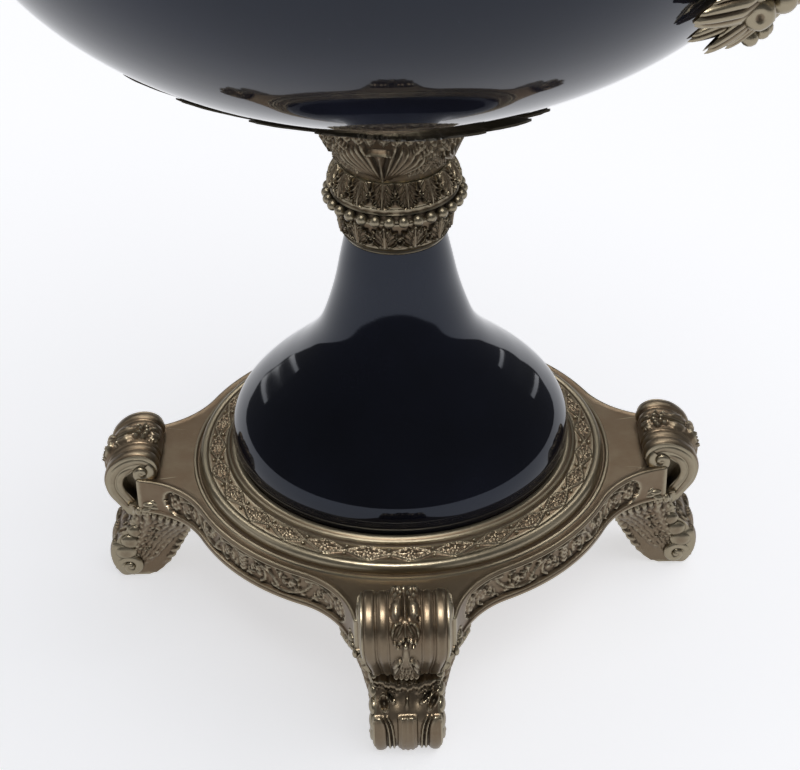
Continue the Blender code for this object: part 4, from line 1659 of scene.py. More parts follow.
# --- handles ---
@dataclass
class ScrollHandle:
    """A scroll handle that rises out of a bunch of leaves and fruit on the bowl's side."""

    centre: float
    radius: float
    depth: float
    lip: float
    drop: float = 0.039
    shift: float = -4.0
    rod: float = 0.0058

    def on_bowl(self, u: np.ndarray, v: np.ndarray) -> tuple[np.ndarray, np.ndarray]:
        """Places on the bowl's side and their outward directions.

        Args:
            u: distance round the bowl from the handle's middle, towards +Y, in millimetres.
            v: distance up the bowl's side from the cluster's middle, in millimetres.

        Returns:
            Points and unit normals for a handle that points along +X.
        """
        angle = np.linspace(0.0, math.pi / 2, 400)
        arc = np.stack([self.radius * np.cos(angle), self.centre - self.depth * np.sin(angle)], 1)
        run = lengths(arc)
        start = float(np.interp(self.drop, self.centre - arc[:, 1], run))
        over = start - np.asarray(v, float) * MM
        station = np.clip(over, 0.0, run[-1])
        r = np.interp(station, run, arc[:, 0])
        z = np.interp(station, run, arc[:, 1]) + np.clip(-over, 0.0, None)
        turn = np.asarray(u, float) * MM / r
        slope = (self.radius / self.depth) ** 2
        normal = unit(spun(r, turn, slope * np.minimum(z - self.centre, 0.0)))
        return spun(r, turn, z), normal

    def spot(self, u: float, v: float, rise: float) -> tuple[np.ndarray, np.ndarray]:
        """A place over the bowl's side.

        Args:
            u: distance round the bowl, in millimetres.
            v: distance up its side.
            rise: height over it.

        Returns:
            The point, and its axes as rows (round, up, out).
        """
        point, out = self.on_bowl(np.array(u), np.array(v))
        side = unit(np.array((-out[1], out[0], 0.0)))
        return point + out * rise * MM, np.array((side, np.cross(out, side), out))

    def lobe(self, shell: Shell, heading: float, start: float, length: float, width: float,
             rise: tuple[float, float, float], flutes: int = 5, sway: float = 0.0) -> None:
        """Add one fluted leaf lobe that lies on the bowl.

        Args:
            shell: where to add it.
            heading: direction from the cluster's middle in degrees, 90 is up.
            start: distance of its root from the middle, in millimetres.
            length: its length.
            width: its half width.
            rise: height over the bowl at its root, middle and tip.
            flutes: ribs over its width.
            sway: degrees that it turns from root to tip.
        """
        rows, columns = 26, 31
        t = np.linspace(0.0, 1.0, rows)[:, None]
        s = np.linspace(-1.0, 1.0, columns)[None, :]
        angle = math.radians(heading) + math.radians(sway) * t
        finger = np.abs(np.cos(s * math.pi * flutes / 2))
        wide = width * (0.42 + 0.58 * np.sin(math.pi / 2 * np.clip(t / 0.62, 0.0, 1.0)))
        wide = wide * (1.0 - 0.16 * ease(t, 0.75, 1.0))
        far = start + t * (length * (1.0 - 0.36 * np.abs(s) ** 2.0) + width * 0.15 * finger)
        u = far * np.cos(angle) - wide * s * np.sin(angle) + self.shift
        v = far * np.sin(angle) + wide * s * np.cos(angle)
        lift = np.interp(t, (0.0, 0.55, 1.0), rise) + 0.35 * wide * (1 - s ** 2) * (1 - 0.4 * t)
        points, normal = self.on_bowl(u, v)
        points = points + normal * (lift * MM)[..., None]
        ribs = finger ** 0.8 * 1.5 * np.sqrt(np.clip(1.0 - t ** 7, 0.0, 1.0)) * ease(t, -0.2, 0.3)
        shell.plate(points[::-1], (ribs * MM)[::-1], 1.7 * MM, 7, 0.3)

    def fruit(self, shell: Shell, u: float, v: float, rise: float, size: float,
              dimple: bool = True) -> None:
        """Add one round fruit that leans off to its side.

        Args:
            shell: where to add it.
            u: distance round the bowl, in millimetres.
            v: distance up its side.
            rise: height of its middle over the bowl.
            size: its radius.
            dimple: gives it a dimple at its outer end.
        """
        centre, axes = self.spot(u, v, rise)
        if dimple:
            lean = math.copysign(1.1, u - self.shift)
            eye = unit(axes[2] + lean * axes[0] + 0.45 * axes[1])
            side = unit(np.cross(axes[1], eye))
            axes = np.array((side, np.cross(eye, side), eye))

        def form(polar: np.ndarray, turn: np.ndarray) -> np.ndarray:
            """Radius factor with the dimple and faint segments."""
            dent = 0.46 * np.exp(-(polar / 0.40) ** 2) if dimple else 0.0 * polar
            return 1.0 - dent + 0.02 * np.cos(6 * turn) * np.sin(polar)

        shell.bud(centre, axes, (size * MM,) * 3, 14 if dimple else 8, 18 if dimple else 10, form)

    def bunch(self, shell: Shell) -> None:
        """Add the leaves, the fruit and the berries on the bowl's side.

        Args:
            shell: where to add them.
        """
        centre, axes = self.spot(self.shift, 0.0, 2.2)
        shell.bud(centre, axes, (0.021, 0.018, 0.0055), 10, 24)
        for heading, length, width, rise, sway in (
                (182.0, 41.0, 9.0, (6.0, 9.5, 5.5), 2.0), (201.0, 35.0, 7.5, (6.0, 7.5, 3.5), 8.0),
                (160.0, 31.0, 7.5, (5.0, 6.0, 2.0), 12.0), (216.0, 31.0, 8.2, (7.0, 9.5, 9.0), 2.0),
                (236.0, 24.0, 7.6, (8.0, 10.5, 10.0), 4.0),
                (254.0, 20.0, 6.0, (8.0, 10.5, 10.0), 0.0),
                (268.0, 19.0, 4.2, (8.0, 11.0, 10.0), 0.0)):
            for side in (-1, 1):
                way = heading if side < 0 else 540.0 - heading
                self.lobe(shell, way, 4.0, length, width, rise, 5, -side * sway)
        for u, v, rise, size in (
                (-18.0, -6.5, 11.5, 6.9), (-4.0, -5.0, 12.5, 6.0), (10.0, -6.5, 11.5, 6.9),
                (-10.0, 5.0, 12.0, 6.2), (4.0, 7.0, 12.0, 6.2)):
            self.fruit(shell, u, v, rise, size)
        for u, v, rise, size in (
                (-10.5, -15.5, 10.5, 3.6), (-3.5, -14.5, 11.5, 3.3), (3.0, -15.5, 10.5, 3.6),
                (-9.0, -21.5, 13.0, 3.7), (1.0, -21.0, 13.0, 3.7), (-4.0, -19.5, 13.8, 3.5),
                (14.5, -4.0, 9.0, 3.4), (-22.0, 1.5, 9.5, 3.4), (14.5, 5.5, 9.0, 3.4),
                (-19.5, 9.5, 8.5, 3.2)):
            self.fruit(shell, u, v, rise, size, dimple=False)

    def scroll(self, shell: Shell) -> None:
        """Add the two-ribbed rod that rises to the rim, with its sheathing leaves.

        Args:
            shell: where to add it.
        """
        path = spline(((self.radius - 0.003, self.centre - 0.041),
                       (self.radius + 0.0185, self.centre - 0.0365),
                       (0.2150, self.centre - 0.0270), (0.2212, self.centre - 0.0110),
                       (0.2175, self.centre + 0.0065), (0.2065, self.centre + 0.0122),
                       (0.1972, self.lip + 0.0012), (0.1935, self.lip - 0.0030),
                       (0.1958, self.lip - 0.0070), (0.1990, self.lip - 0.0060)), 9)
        rod = np.stack([path[:, 0], np.zeros(len(path)), path[:, 1]], 1)
        shell.tube(rod, [self.rod * part for part in (1.1, 1.0, 0.95, 1.0, 0.9, 0.6)], 18, 1.0,
                   (0.0, 1.0, 0.0))
        for sign in (-1, 1):
            edge = rod[4:-8] + np.array((0.0, sign * self.rod * 0.62, 0.0))
            shell.tube(edge, (0.0019, 0.0022, 0.0016), 8, 1.0, (0.0, 1.0, 0.0))
        for share in (0.30, 0.55):
            at = int(share * len(rod))
            leaf = rod[at - 6: at + 8] + np.array((0.0030, 0.0, 0.0))
            shell.tube(leaf, (0.001, 0.0046, 0.0040, 0.001), 10, 0.8, (0.0, 1.0, 0.0))

    def build(self, shop: Workshop, angle: float, name: str) -> bpy.types.Object:
        """Build one handle.

        Args:
            shop: finishes and placing.
            angle: its direction in radians from +X.
            name: its name, which is also its node's.

        Returns:
            The piece.
        """
        shell = Shell()
        self.bunch(shell)
        self.scroll(shell)
        turned = Shell().join(shell, angle)
        return shop.place(name, [turned.mesh(name)], wear=(0.0009, 0.006))


# --- feet ---
def side_axes(sign: int, tilt: float = 0.0) -> np.ndarray:
    """Axes of a body on a side face: along it, up it and out of it, tilted by some degrees."""
    c, s = math.cos(math.radians(tilt)), math.sin(math.radians(tilt))
    return np.array(((c, 0.0, s), (-s, 0.0, c), (0.0, float(sign), 0.0)))


@dataclass
class ScrollFoot:
    """A scroll foot under an arm of the plinth, built for the arm along +X."""

    top: float
    half: float = 19.8
    arm: float = 22.5
    sheet: float = 7.4
    front: tuple[tuple[float, float], ...] = (
        (0.1212, -0.0010), (0.1203, 0.0035), (0.1216, 0.0080), (0.1255, 0.0107),
        (0.1306, 0.0110), (0.1366, 0.0088), (0.1418, 0.0040), (0.1442, -0.0030),
        (0.1432, -0.0102), (0.1400, -0.0168), (0.1362, -0.0235), (0.1350, -0.0300),
        (0.1378, -0.0358), (0.1426, -0.0408), (0.1460, -0.0466), (0.1468, -0.0535),
        (0.1452, -0.0600), (0.1418, -0.0648), (0.1375, -0.0660))
    eye: tuple[float, float] = (0.1268, 0.0026)
    low_eye: tuple[float, float] = (0.1382, -0.0586)

    def path(self, rows: int) -> tuple[np.ndarray, np.ndarray, np.ndarray]:
        """The front's line in side view.

        Args:
            rows: points along it.

        Returns:
            Its points, its outward directions and its run in millimetres.
        """
        line = spline(self.front, 12)
        run = np.linspace(0.0, lengths(line)[-1], rows)
        line = resample(line, run)
        return line, leftward(line), run / MM

    def width_at(self, run: np.ndarray) -> np.ndarray:
        """Half the sheet's width along its run, in millimetres."""
        return (self.half - 3.4 * ease(run, 40.0, 66.0) - 1.8 * ease(run, 64.0, 78.0)
                + 1.3 * ease(run, 84.0, 90.0) - 2.2 * ease(run, 100.0, 113.0))

    def strip_art(self) -> Carving:
        """Ornament down the middle strip, on (across, run)."""
        art = Carving()
        for places, radii, heights in (
                (((0.9, 18.5), (0.9, 29.5)), (0.4, 0.4), (1.6, 1.5)),
                (((2.6, 20.6), (3.7, 23.4), (3.9, 26.4), (3.3, 29.0)), (1.3, 2.6, 2.5, 0.9),
                 (1.6, 2.3, 2.2, 1.4)),
                (((2.6, 29.5), (3.0, 33.0), (3.0, 37.0)), (3.0, 3.4, 3.4), (1.2, 1.5, 1.2)),
                (((1.1, 30.6), (2.3, 32.4), (3.9, 34.8)), (0.6, 0.85, 0.6), (2.4, 3.0, 2.2)),
                (((1.9, 29.9), (4.3, 30.7), (5.5, 33.0), (5.6, 35.6)), (0.6, 1.05, 1.0, 0.5),
                 (2.3, 3.0, 2.7, 1.8)),
                (((1.6, 46.4), (3.6, 47.0), (5.6, 51.0)), (0.7, 1.0, 0.4), (2.3, 2.9, 2.2)),
                (((3.4, 50.0), (4.8, 55.0), (5.6, 60.0)), (0.6, 0.9, 0.5), (2.2, 2.8, 2.2))):
            art.stroke(places, radii, heights)
        art.dot(1.4, 55.5, 0.6, 3.2).dot(3.0, 58.0, 0.6, 3.2)
        art.leaf((1.6, 18.6), 52.0, 4.8, 2.0, 2.0, 3).mirrored()
        for u, v, size, height in (
                (-1.9, 17.0, 1.25, 2.6), (1.3, 17.4, 1.2, 2.6), (-4.0, 18.2, 1.3, 2.6),
                (3.9, 18.5, 1.25, 2.6), (-0.3, 14.6, 1.35, 2.6), (-3.1, 15.0, 1.3, 2.6),
                (2.7, 15.1, 1.3, 2.6), (-5.2, 15.6, 1.0, 2.6), (5.0, 15.8, 1.0, 2.6),
                (0.0, 38.4, 1.45, 2.9), (-2.5, 36.8, 1.2, 2.9), (2.5, 36.6, 1.2, 2.9),
                (-1.0, 35.9, 1.05, 2.9), (1.3, 35.8, 1.0, 2.9), (4.4, 37.0, 1.1, 2.9),
                (-4.7, 37.2, 1.0, 2.9), (-3.3, 38.9, 0.95, 2.9), (3.4, 38.7, 0.95, 2.9),
                (0.0, 51.5, 0.6, 3.1), (0.0, 60.0, 0.7, 3.2)):
            art.dot(u, v, size, height)
        for heading in (-140.0, -90.0, -40.0):
            art.leaf((2.6 * math.cos(math.radians(heading)), 13.4), heading, 4.4, 2.4, 2.0, 3)
        for k in range(7):
            art.dot(2.6 + 0.55 * k, 22.3 + 1.0 * k - 0.3 * (k % 2), 0.42, 2.75)
        art.stroke(((0.0, 29.5), (0.0, 34.5)), (1.4, 0.9), (1.5, 1.9))
        art.stroke(((0.0, 39.6), (0.0, 44.0), (0.0, 50.0)), (1.3, 1.9, 2.6), (1.9, 2.2, 2.1))
        for k in range(-2, 3):
            art.stroke(((k * 0.5, 44.0), (k * 1.2, 51.0), (k * 2.1, 61.0)), (0.7, 1.1, 1.7),
                       (2.0, 2.2, 2.6))
            art.dot(k * 2.25, 64.2 - 0.5 * abs(k), 1.65, 2.9)
        for k in range(24):
            row, column = divmod(k, 6)
            art.dot((column - 2.5) * (0.75 + 0.13 * row) + 0.3 * (row % 2),
                    51.0 + 3.2 * row + 0.8 * (k % 2), 0.75, 3.1)
        return art

    @staticmethod
    def shank(y: np.ndarray, run: np.ndarray) -> np.ndarray:
        """Folded leaf with pierced lobes between the scroll and the toe.

        Args:
            y: distance across from the middle, in millimetres.
            run: distance along the sheet.

        Returns:
            Heights in millimetres.
        """
        fold = run - (73.4 - 4.8 * (y / 15.0) ** 2 + 0.45 * np.sin(1.3 * y + 0.5)
                      + 0.25 * np.sin(3.7 * y))
        high = 2.0 * ridge(fold, 0.0, 2.1) + 1.9 * ridge(fold, -2.6, 1.1) * (
            0.75 + 0.25 * np.sin(2.9 * y + 1.0))
        high += 1.0 * ridge(fold, 3.0, 0.9) * ease(np.abs(y), 3.0, 6.0)
        high += (1.5 * swell(y + 0.05 * (run - 79.0), 0.0, 1.0) * swell(run, 79.5, 5.5)
                 - 0.7 * swell(run, 80.0, 6.0) * swell(np.abs(y), 4.6, 4.2))
        for u, v, tilt, long, wide in (
                (8.9, 77.6, 130.0, 3.1, 0.95), (12.0, 79.6, 118.0, 3.5, 1.3),
                (-10.3, 80.6, 84.0, 2.8, 1.45), (-7.5, 77.6, 62.0, 2.3, 0.8)):
            c, s = math.cos(math.radians(tilt)), math.sin(math.radians(tilt))
            away = np.hypot(((y - u) * c + (run - v) * s) / long,
                            ((run - v) * c - (y - u) * s) / wide)
            high += 1.1 * swell(away, 1.35, 0.38) - 3.0 * swell(away, 0.0, 1.0)
        return high

    @staticmethod
    def toe(y: np.ndarray, run: np.ndarray) -> np.ndarray:
        """Rolled toe with its three ribs.

        Args:
            y: distance across from the middle, in millimetres.
            run: distance along the sheet.

        Returns:
            Heights in millimetres.
        """
        flare = 3.0 * np.exp(-np.clip(run - 86.5, 0.0, None) / 4.0)
        far = np.abs(y)
        high = (2.0 + 0.22 * np.cos(2.7 * y)) * ridge(far, 0.0, 4.5, 2.6)
        high += 1.3 * ridge(far, 6.2 + flare, 0.65) + 1.3 * ridge(far, 8.1 + flare, 0.65)
        return high + (1.8 * ridge(far, 12.4, 2.9) + 0.9 * ridge(far, 15.5, 0.5)) * ease(
            far - flare, 8.8, 9.4)

    def relief(self, y: np.ndarray, run: np.ndarray) -> np.ndarray:
        """Height of the sheet's carved front, in millimetres.

        Args:
            y: distance across from the middle, in millimetres.
            run: distance along the sheet.

        Returns:
            The heights.
        """
        side = np.abs(y) * 20.0 / self.width_at(run)
        bands = np.zeros_like(side)
        for rise, centre, half, flat in ((2.0, 15.9, 2.8, 3.4), (1.5, 9.8, 2.3, 3.4),
                                         (1.2, 12.7, 0.5, 2.0), (1.3, 19.2, 0.7, 2.0),
                                         (1.5, 7.3, 0.5, 2.0)):
            bands += rise * ridge(side, centre, half, flat)
        ground = np.where(side < 6.9, 1.9 + self.strip_art().over(y, run), bands)
        edge = 66.0 + 0.9 * np.sin(2.1 * y + 0.6) * np.cos(0.8 * y) - 1.6 * (y / 15.0) ** 2
        scroll = ground * (1.0 - ease(run - edge, -0.5, 0.5)) * ease(run, 1.0, 5.0)
        leaf = ease(run, 67.0, 69.5) * (1.0 - ease(run, 84.6, 86.6))
        end = ease(run, 85.8, 87.4) * (1.0 - 0.8 * ease(run, 108.0, 113.0))
        return (scroll - 2.4 * swell(run - edge, 2.2, 2.4) + leaf * self.shank(y, run)
                + end * self.toe(y, run))

    def ribbon(self, shell: Shell, path: np.ndarray, y: np.ndarray, radii: Sequence[float],
               sign: int, flat: float = 0.5) -> None:
        """Add a flat rounded ribbon on one side face.

        Args:
            shell: where to add it.
            path: its line in side view, in metres from the arm's top.
            y: its distance out from the middle, in millimetres.
            radii: its half widths in millimetres, spread over its length.
            sign: the side that it lies on.
            flat: its thickness as a share of its half width.
        """
        line = np.column_stack([path[:, 0], sign * y * MM, path[:, 1] + self.top])
        shell.tube(line, [r * MM for r in radii], 12, flat, (0.0, 1.0, 0.0))

    def volutes(self, shell: Shell, sign: int) -> None:
        """Add the ribbons and spirals of one side.

        Args:
            shell: where to add them.
            sign: the side, 1 or -1.
        """
        line, out, run = self.path(240)
        wide = self.width_at(run)
        for low, high, inset, radii in ((7.0, 62.0, 1.8, (1.2, 1.9, 1.9, 1.9, 1.7, 1.0)),
                                        (20.0, 62.0, 5.7, (0.9, 1.8, 1.9, 1.8, 1.5, 0.9))):
            keep = (run > low) & (run < high)
            path = (line - out * inset * MM)[keep][::3]
            self.ribbon(shell, path, wide[keep][::3] - 0.35, radii, sign)
        axes = side_axes(sign)
        for eye, start, turns, far, out_to, radii in (
                (self.eye, 120.0, 1.12, 5.4, self.half - 0.3, (2.1, 2.7, 2.6, 2.3, 1.9)),
                (self.low_eye, 10.0, 1.25, 6.0, 15.3, (1.7, 2.4, 2.4, 2.0, 1.6))):
            share = np.linspace(0.0, 1.0, 44)
            turn = math.radians(start) + TAU * turns * share
            reach = (far + (0.9 - far) * share ** 0.85) * MM
            path = np.array(eye) + reach[:, None] * np.stack([np.cos(turn), np.sin(turn)], 1)
            self.ribbon(shell, path, out_to + 0.9 * share, radii, sign, 0.7)
            shell.bud((eye[0], sign * (out_to + 0.7) * MM, eye[1] + self.top), axes,
                      (0.0019, 0.0019, 0.0016), 6, 12)
            shell.bud((eye[0], sign * (out_to - 1.6) * MM, eye[1] + self.top), axes,
                      (0.0058, 0.0058, 0.0022), 8, 24)
        for s, z, size in ((0.1316, -0.0296, 3.3), (0.1338, -0.0368, 3.8),
                           (0.1374, -0.0432, 4.2), (0.1402, -0.0498, 4.6)):
            shell.bud((s, sign * 14.9 * MM, z + self.top), axes,
                      (size * MM * 1.25, size * MM, 2.5 * MM), 12, 24)

    def wing_art(self) -> Carving:
        """Leaves on the foot's side, on (distance from the back edge, distance down)."""
        art = Carving()
        for k in range(9):
            u = 1.6 + 3.4 * k
            art.stroke(((u + 0.5, 7.5), (u, 4.0), (u - 0.5, 1.4)), (0.9, 1.5, 1.7),
                       (0.8, 1.8, 2.6))
        for k in range(6):
            art.stroke(((2.4 + 3.2 * k, 7.5), (6.5 + 2.9 * k, 18.0), (10.0 + 2.4 * k, 35.0)),
                       (1.5, 1.7, 1.1), (1.2, 1.3, 0.7))
            art.dot(24.0 - 0.4 * k, 9.0 + 3.3 * k, 2.1, 2.2)
            art.dot(19.0 + 0.2 * k, 10.5 + 3.3 * k, 1.7, 2.0)
        art.stroke(((22.0, 4.0), (21.5, 14.0), (21.5, 28.0)), (2.6, 2.4, 1.4), (2.6, 2.6, 1.4))
        art.curl((16.5, 13.0), 0.0, -1.1, 2.8, 1.0, 2.2)
        art.curl((15.5, 20.0), 0.0, -1.1, 2.4, 0.9, 2.0)
        for k in range(8):
            art.dot(0.9 + 0.15 * k, 7.0 + 4.2 * k, 2.3, 1.7)
            art.dot(5.0 + 1.0 * k, 9.5 + 4.0 * k, 1.5, 1.5)
        return art.flower(16.5, 27.0, 2.4, 2.3, 5, 20.0).flower(19.0, 32.0, 1.8, 2.0, 5)

    def wing(self, shell: Shell, sign: int) -> None:
        """Add the leaf that covers one side, from the arm's underside down to the heel.

        Args:
            shell: where to add it.
            sign: the side that it is on, 1 or -1.
        """
        rows, columns = 76, 50
        s, t = np.meshgrid(np.linspace(0.0, 1.0, columns), np.linspace(0.0, 1.0, rows))
        z = -0.0184 - 0.0462 * t
        back = np.interp(-z, (0.0184, 0.0260, 0.0340, 0.0420, 0.0495, 0.0555, 0.0612, 0.0646),
                         (0.1040, 0.1048, 0.1074, 0.1108, 0.1146, 0.1182, 0.1224, 0.1262))
        back = back - 0.0007 * np.abs(np.sin(t * math.pi * 9)) * (1.0 - ease(t, 0.82, 0.95))
        fore = np.interp(-z, (0.0184, 0.0240, 0.0300, 0.0360, 0.0430, 0.0500, 0.0580, 0.0646),
                         (0.1352, 0.1334, 0.1330, 0.1348, 0.1372, 0.1360, 0.1352, 0.1352))
        z = z + 0.0012 * (1.0 - np.abs(np.sin(s * math.pi * 9)) ** 0.7) * (1 - t) ** 8
        spread = np.interp(t, (0.0, 0.1, 0.2, 0.3, 0.45, 0.6, 0.8, 1.0),
                           (13.6, 12.4, 9.8, 6.6, 2.9, 1.5, 0.4, -0.6))
        y = 14.4 + spread * (1.0 - 0.70 * ease(s, 0.25, 1.0))
        points = np.stack([back + (fore - back) * s, sign * y * MM, z + self.top], -1)
        height = self.wing_art().over(s * (fore - back) / MM, t * 44.0)
        height = height * ease(1.0 - t, 0.06, 0.30) + 0.10 * np.sin(s * 90.0) * np.sin(t * 70.0)
        fill = 2.6 + np.clip(spread[:, :1], 0.0, None) * 0.9
        if sign < 0:
            points, height = points[:, ::-1], height[:, ::-1]
        shell.plate(points, height * MM, fill * MM, 9)

    def core(self, shell: Shell) -> None:
        """Add the plain body between the sheet, the arm and the ground.

        Args:
            shell: where to add it.
        """
        line, out, run = self.path(160)
        front = (line - out * 2.6 * MM)[(run > 22.0) & (run < 109.0)]
        heel = np.array(((0.1046, -0.0184), (0.1052, -0.0260), (0.1078, -0.0340),
                         (0.1112, -0.0420), (0.1150, -0.0495), (0.1186, -0.0555),
                         (0.1226, -0.0612), (0.1262, -0.0645), (0.1300, -0.0661)))
        for high, low, rows in ((0.0076, -0.0190, 16), (-0.0184, -0.0661, 30)):
            rings = []
            for z in np.linspace(high, low, rows):
                ahead = float(np.interp(-z, -front[:, 1], front[:, 0]))
                if low < -0.03:
                    behind = float(np.interp(-z, -heel[:, 1], heel[:, 0]))
                    wide = float(np.interp(z, (-0.040, -0.030, -0.024, -0.0184),
                                           (13.4, 15.0, 16.3, 18.4))) * MM
                else:
                    behind, wide = (0.1303 if z < 0.0004 else 0.1262), 10.0 * MM
                rings.append([(x, y, z + self.top) for x, y in (
                    (behind, -wide), (ahead, -wide), (ahead, wide), (behind, wide))])
            shell.loops(np.array(rings))

    def fringe(self, shell: Shell, sign: int) -> None:
        """Add the pleats and the small spray of leaves on the arm's side, at its lower edge.

        Args:
            shell: where to add them.
            sign: the side, 1 or -1.
        """
        axes = side_axes(sign)
        for k in range(10):
            out = self.arm + 0.1 + 0.30 * max(0.0, 3.5 - k) ** 1.5
            shell.bud((0.1042 + 0.0029 * k, sign * out * MM, self.top - 0.0186), axes,
                      (0.0016, 0.0026, 0.0014), 7, 10)
        for s, z, tilt, long, wide in (
                (0.1205, -0.0152, 8.0, 4.8, 1.5), (0.1164, -0.0170, 24.0, 3.2, 1.4),
                (0.1242, -0.0134, -6.0, 3.0, 1.4), (0.1212, -0.0124, 40.0, 2.8, 1.2),
                (0.1180, -0.0136, 62.0, 2.4, 1.1), (0.1256, -0.0164, -22.0, 2.8, 1.3)):
            shell.bud((s, sign * (self.arm + 0.7) * MM, z + self.top), side_axes(sign, tilt),
                      (1.2 * long * MM, 1.25 * wide * MM, 2.4 * MM), 8, 14)

    def front_sheet(self, shell: Shell) -> None:
        """Add the carved sheet that rolls down the front.

        Args:
            shell: where to add it.
        """
        line, _, run = self.path(204)
        share = np.concatenate([np.linspace(-1.0, -0.36, 26)[:-1], np.linspace(-0.36, 0.36, 38),
                                np.linspace(0.36, 1.0, 26)[1:]])
        y = self.width_at(run)[:, None] * share
        height = self.relief(y, np.broadcast_to(run[:, None], y.shape))
        pinch = 1.0 - 0.6 * ease(np.abs(share), 0.975, 1.0)
        points = np.stack(np.broadcast_arrays(line[:, :1], y * MM, line[:, 1:] + self.top), -1)
        carved = height * pinch * MM
        depth = (3.0 + (self.sheet - 3.0) * ease(run, 12.0, 26.0) - 2.2 * ease(run, 56.0, 66.0))
        shell.plate(points[::-1], carved[::-1], (depth * MM)[::-1, None], 4)

    def build(self, shop: Workshop) -> list[bpy.types.Object]:
        """Build the front foot and its three turned copies.

        Args:
            shop: finishes and placing.

        Returns:
            The four pieces.
        """
        shell = Shell()
        self.front_sheet(shell)
        self.core(shell)
        for sign in (-1, 1):
            self.volutes(shell, sign)
            self.wing(shell, sign)
            self.fringe(shell, sign)
        turned = Shell().join(shell, -math.pi / 2)
        for points in turned.points:
            points[:, 2] = np.maximum(points[:, 2], 0.00004)

        def age(spots: np.ndarray) -> np.ndarray:
            """Painted shade, deep in the web behind the scroll and faint over the rest."""
            far, high = -spots[:, 1], spots[:, 2] - self.top
            web = (far > 0.1285) & (far < 0.1368) & (high > -0.0186) & (high < 0.0070)
            return 0.04 + 0.50 * (web & (np.abs(spots[:, 0]) < 0.0125))

        first = shop.place("foot_front", [turned.mesh("foot")], wear=(0.0008, 0.005), age=age)
        return [first] + [shop.turned_copy(first, name, angle) for name, angle in (
            ("foot_right", math.pi / 2), ("foot_back", math.pi), ("foot_left", -math.pi / 2))]


# --- studio ---
@dataclass(frozen=True)
class SoftBox:
    """One soft light.

    Args:
        name: its name.
        place: its middle.
        aim: the point it faces.
        size: its width and height.
        power: watts.
        tone: its colour.
        metal: lights the metalwork alone.
        mirrored: shows in shiny surfaces.
        up: the way its height points.
    """

    name: str
    place: tuple[float, float, float]
    aim: tuple[float, float, float]
    size: tuple[float, float]
    power: float
    tone: Colour = (1.0, 1.0, 1.0)
    metal: bool = False
    mirrored: bool = True
    up: tuple[float, float, float] = (0.0, 0.0, 1.0)

    def hang(self, metalwork: bpy.types.Collection, shading: bpy.types.Collection) -> None:
        """Hang the light.

        Args:
            metalwork: the pieces that a metal light serves.
            shading: the pieces that shade them.
        """
        lamp = bpy.data.lights.new(self.name, "AREA")
        lamp.shape = "RECTANGLE"
        lamp.size, lamp.size_y = self.size
        lamp.energy = self.power
        lamp.color = self.tone
        item = bpy.data.objects.new(self.name, lamp)
        item.location = self.place
        face = (Vector(self.place) - Vector(self.aim)).normalized()
        side = Vector(self.up).cross(face).normalized()
        item.rotation_euler = Matrix((side, face.cross(side), face)).transposed().to_euler()
        item.visible_camera = False
        item.visible_glossy = self.mirrored
        bpy.context.scene.collection.objects.link(item)
        if self.metal:
            item.light_linking.receiver_collection = metalwork
            item.light_linking.blocker_collection = shading


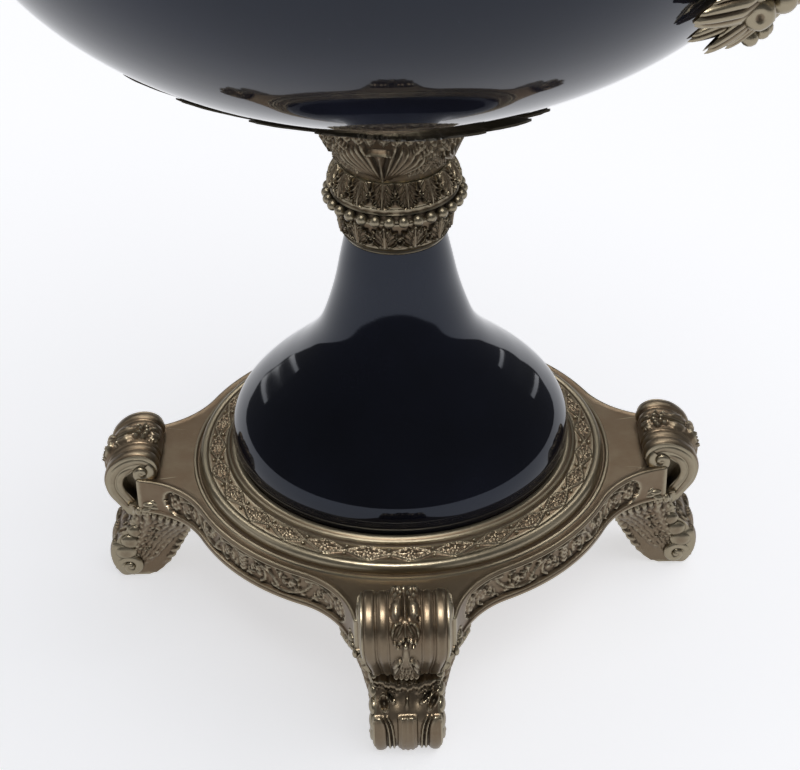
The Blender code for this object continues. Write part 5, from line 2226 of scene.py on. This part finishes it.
@dataclass
class Studio:
    """A plain pale floor, soft light and the camera."""

    camera_place: tuple[float, float, float] = (0.0003, -0.7677, 0.6203)
    pitch: float = 56.07
    roll: float = -1.40
    lens: float = 85.5
    floor_tone: Colour = (0.80, 0.805, 0.83)
    over: float = 1.35
    boxes: tuple[SoftBox, ...] = (
        SoftBox("canopy", (0.0, 0.9, 2.3), (0.0, 0.1, 0.1), (4.4, 3.2), 13.0,
                (1.0, 0.985, 0.955), metal=True),
        SoftBox("back_sky", (-0.10, 1.25, 2.05), (0.0, 0.0, 0.06), (2.8, 0.9), 19.0,
                (1.0, 0.985, 0.955), metal=True),
        SoftBox("key", (-0.15, -0.58, 2.35), (0.0, -0.1, 0.05), (0.8, 0.8), 58.0,
                (1.0, 0.99, 0.96), metal=True),
        SoftBox("front_fill", (0.0, -2.5, 1.3), (0.0, 0.0, 0.1), (3.4, 2.0), 1.5, metal=True),
        SoftBox("left", (-2.2, -0.2, 1.1), (0.0, 0.0, 0.15), (1.2, 1.6), 3.8, metal=True),
        SoftBox("right", (2.2, -0.2, 1.1), (0.0, 0.0, 0.15), (1.2, 1.6), 2.0, metal=True),
        SoftBox("strip_left", (-1.60, 1.675, 0.378), (0.0, 0.0, 0.10), (0.045, 0.92), 0.16,
                up=(-0.557, -0.579, 0.631)),
        SoftBox("strip_right", (1.65, 1.62, 0.417), (0.0, 0.0, 0.10), (0.045, 0.90), 0.16,
                up=(0.511, -0.598, 0.649)))

    def floor(self) -> None:
        """Lay the floor."""
        mesh = bpy.data.meshes.new("studio_floor")
        size = 6.0
        mesh.from_pydata([(-size, -size, 0), (size, -size, 0), (size, size, 0),
                          (-size, size, 0)], [], [(0, 1, 2, 3)])
        item = bpy.data.objects.new("studio_floor", mesh)
        bpy.context.scene.collection.objects.link(item)
        shader = ShaderTree("pale_floor")
        cloud = shader.noise(0.8, 2.0, 0.4)
        tone = shader.mix(cloud, self.floor_tone, tuple(c * 1.01 for c in self.floor_tone))
        mesh.materials.append(shader.dress(Base_Color=tone, Roughness=0.9,
                                           Specular_IOR_Level=0.0,
                                           Emission_Color=(0.975, 0.98, 1.0, 1.0),
                                           Emission_Strength=0.60))

    def camera(self) -> None:
        """Set up the camera."""
        data = bpy.data.cameras.new("camera")
        data.lens = self.lens
        data.sensor_width = 36.0
        data.sensor_fit = "HORIZONTAL"
        data.clip_start = 0.01
        item = bpy.data.objects.new("camera", data)
        item.matrix_world = (Matrix.Translation(self.camera_place)
                             @ Matrix.Rotation(math.radians(self.pitch), 4, "X")
                             @ Matrix.Rotation(math.radians(self.roll), 4, "Z"))
        bpy.context.scene.collection.objects.link(item)
        bpy.context.scene.camera = item

    def sky(self) -> None:
        """Fill the room with weak light all round and a broad soft light from above."""
        world = bpy.data.worlds.new("studio")
        world.use_nodes = True
        back = world.node_tree.nodes["Background"]
        back.inputs[0].default_value = (0.86, 0.88, 0.95, 1.0)
        back.inputs[1].default_value = 0.10
        bpy.context.scene.world = world
        sun = bpy.data.lights.new("over", "SUN")
        sun.energy = self.over
        sun.angle = math.radians(85.0)
        item = bpy.data.objects.new("over", sun)
        item.rotation_euler = (0.0, math.radians(20.0), 0.0)
        item.visible_glossy = False
        bpy.context.scene.collection.objects.link(item)

    def build(self, metalwork: bpy.types.Collection, shading: bpy.types.Collection) -> None:
        """Set up the camera, the floor and the light.

        Args:
            metalwork: the pieces that the metal lights serve.
            shading: the pieces that shade them.
        """
        bpy.context.scene.view_settings.view_transform = "Standard"
        self.camera()
        self.floor()
        self.sky()
        for box in self.boxes:
            box.hang(metalwork, shading)


def main() -> None:
    """Build every sub-assembly, and log each piece."""
    logging.basicConfig(level=logging.INFO, format="%(message)s")
    record = frame["record"]
    LOG.info("building round %s", record.get("name", "the packed part"))
    shop = Workshop()
    plinth_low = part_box("plinth")[0].z
    plinth_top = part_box("pedestal")[0].z - 0.0003
    bowl_low, bowl_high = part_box("bowl")
    band_low, band_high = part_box("rim_band")
    collar_turn, handle_line = -11.0, -37.0
    Studio().build(shop.metalwork, shop.shading)
    Plinth(plinth_top, plinth_low).build(shop)
    FootRing(plinth_top).build(shop)
    Pedestal(plinth_top).build(shop)
    bowl = Bowl(bowl_high.x, bowl_low.z, bowl_high.z)
    bowl.build(shop)
    RimBand(bowl.radius - bowl.wall - 0.001, band_high.x, band_low.z, band_high.z).build(shop)
    NeckCollar(plinth_top, collar_turn).build(shop)
    centre = bowl.bottom + bowl.depth
    LeafCalyx(plinth_top, bowl.bottom - 0.0003, centre, bowl.radius, bowl.depth, collar_turn,
              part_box("neck_collar")[1].z + 0.0003).build(shop)
    handle = ScrollHandle(centre, bowl.radius, bowl.depth, bowl.lip)
    for name, angle in (("handle_right", handle_line), ("handle_left", handle_line + 180.0)):
        handle.build(shop, math.radians(angle), name)
    ScrollFoot(plinth_top).build(shop)


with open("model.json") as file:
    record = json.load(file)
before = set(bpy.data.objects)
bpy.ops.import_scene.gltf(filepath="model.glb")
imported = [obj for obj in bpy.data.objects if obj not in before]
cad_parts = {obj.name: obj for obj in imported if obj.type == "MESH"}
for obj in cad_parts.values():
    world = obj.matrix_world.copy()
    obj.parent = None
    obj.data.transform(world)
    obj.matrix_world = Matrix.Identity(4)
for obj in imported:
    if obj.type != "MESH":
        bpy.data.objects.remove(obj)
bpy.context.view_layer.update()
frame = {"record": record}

if __name__ == "__main__":
    main()
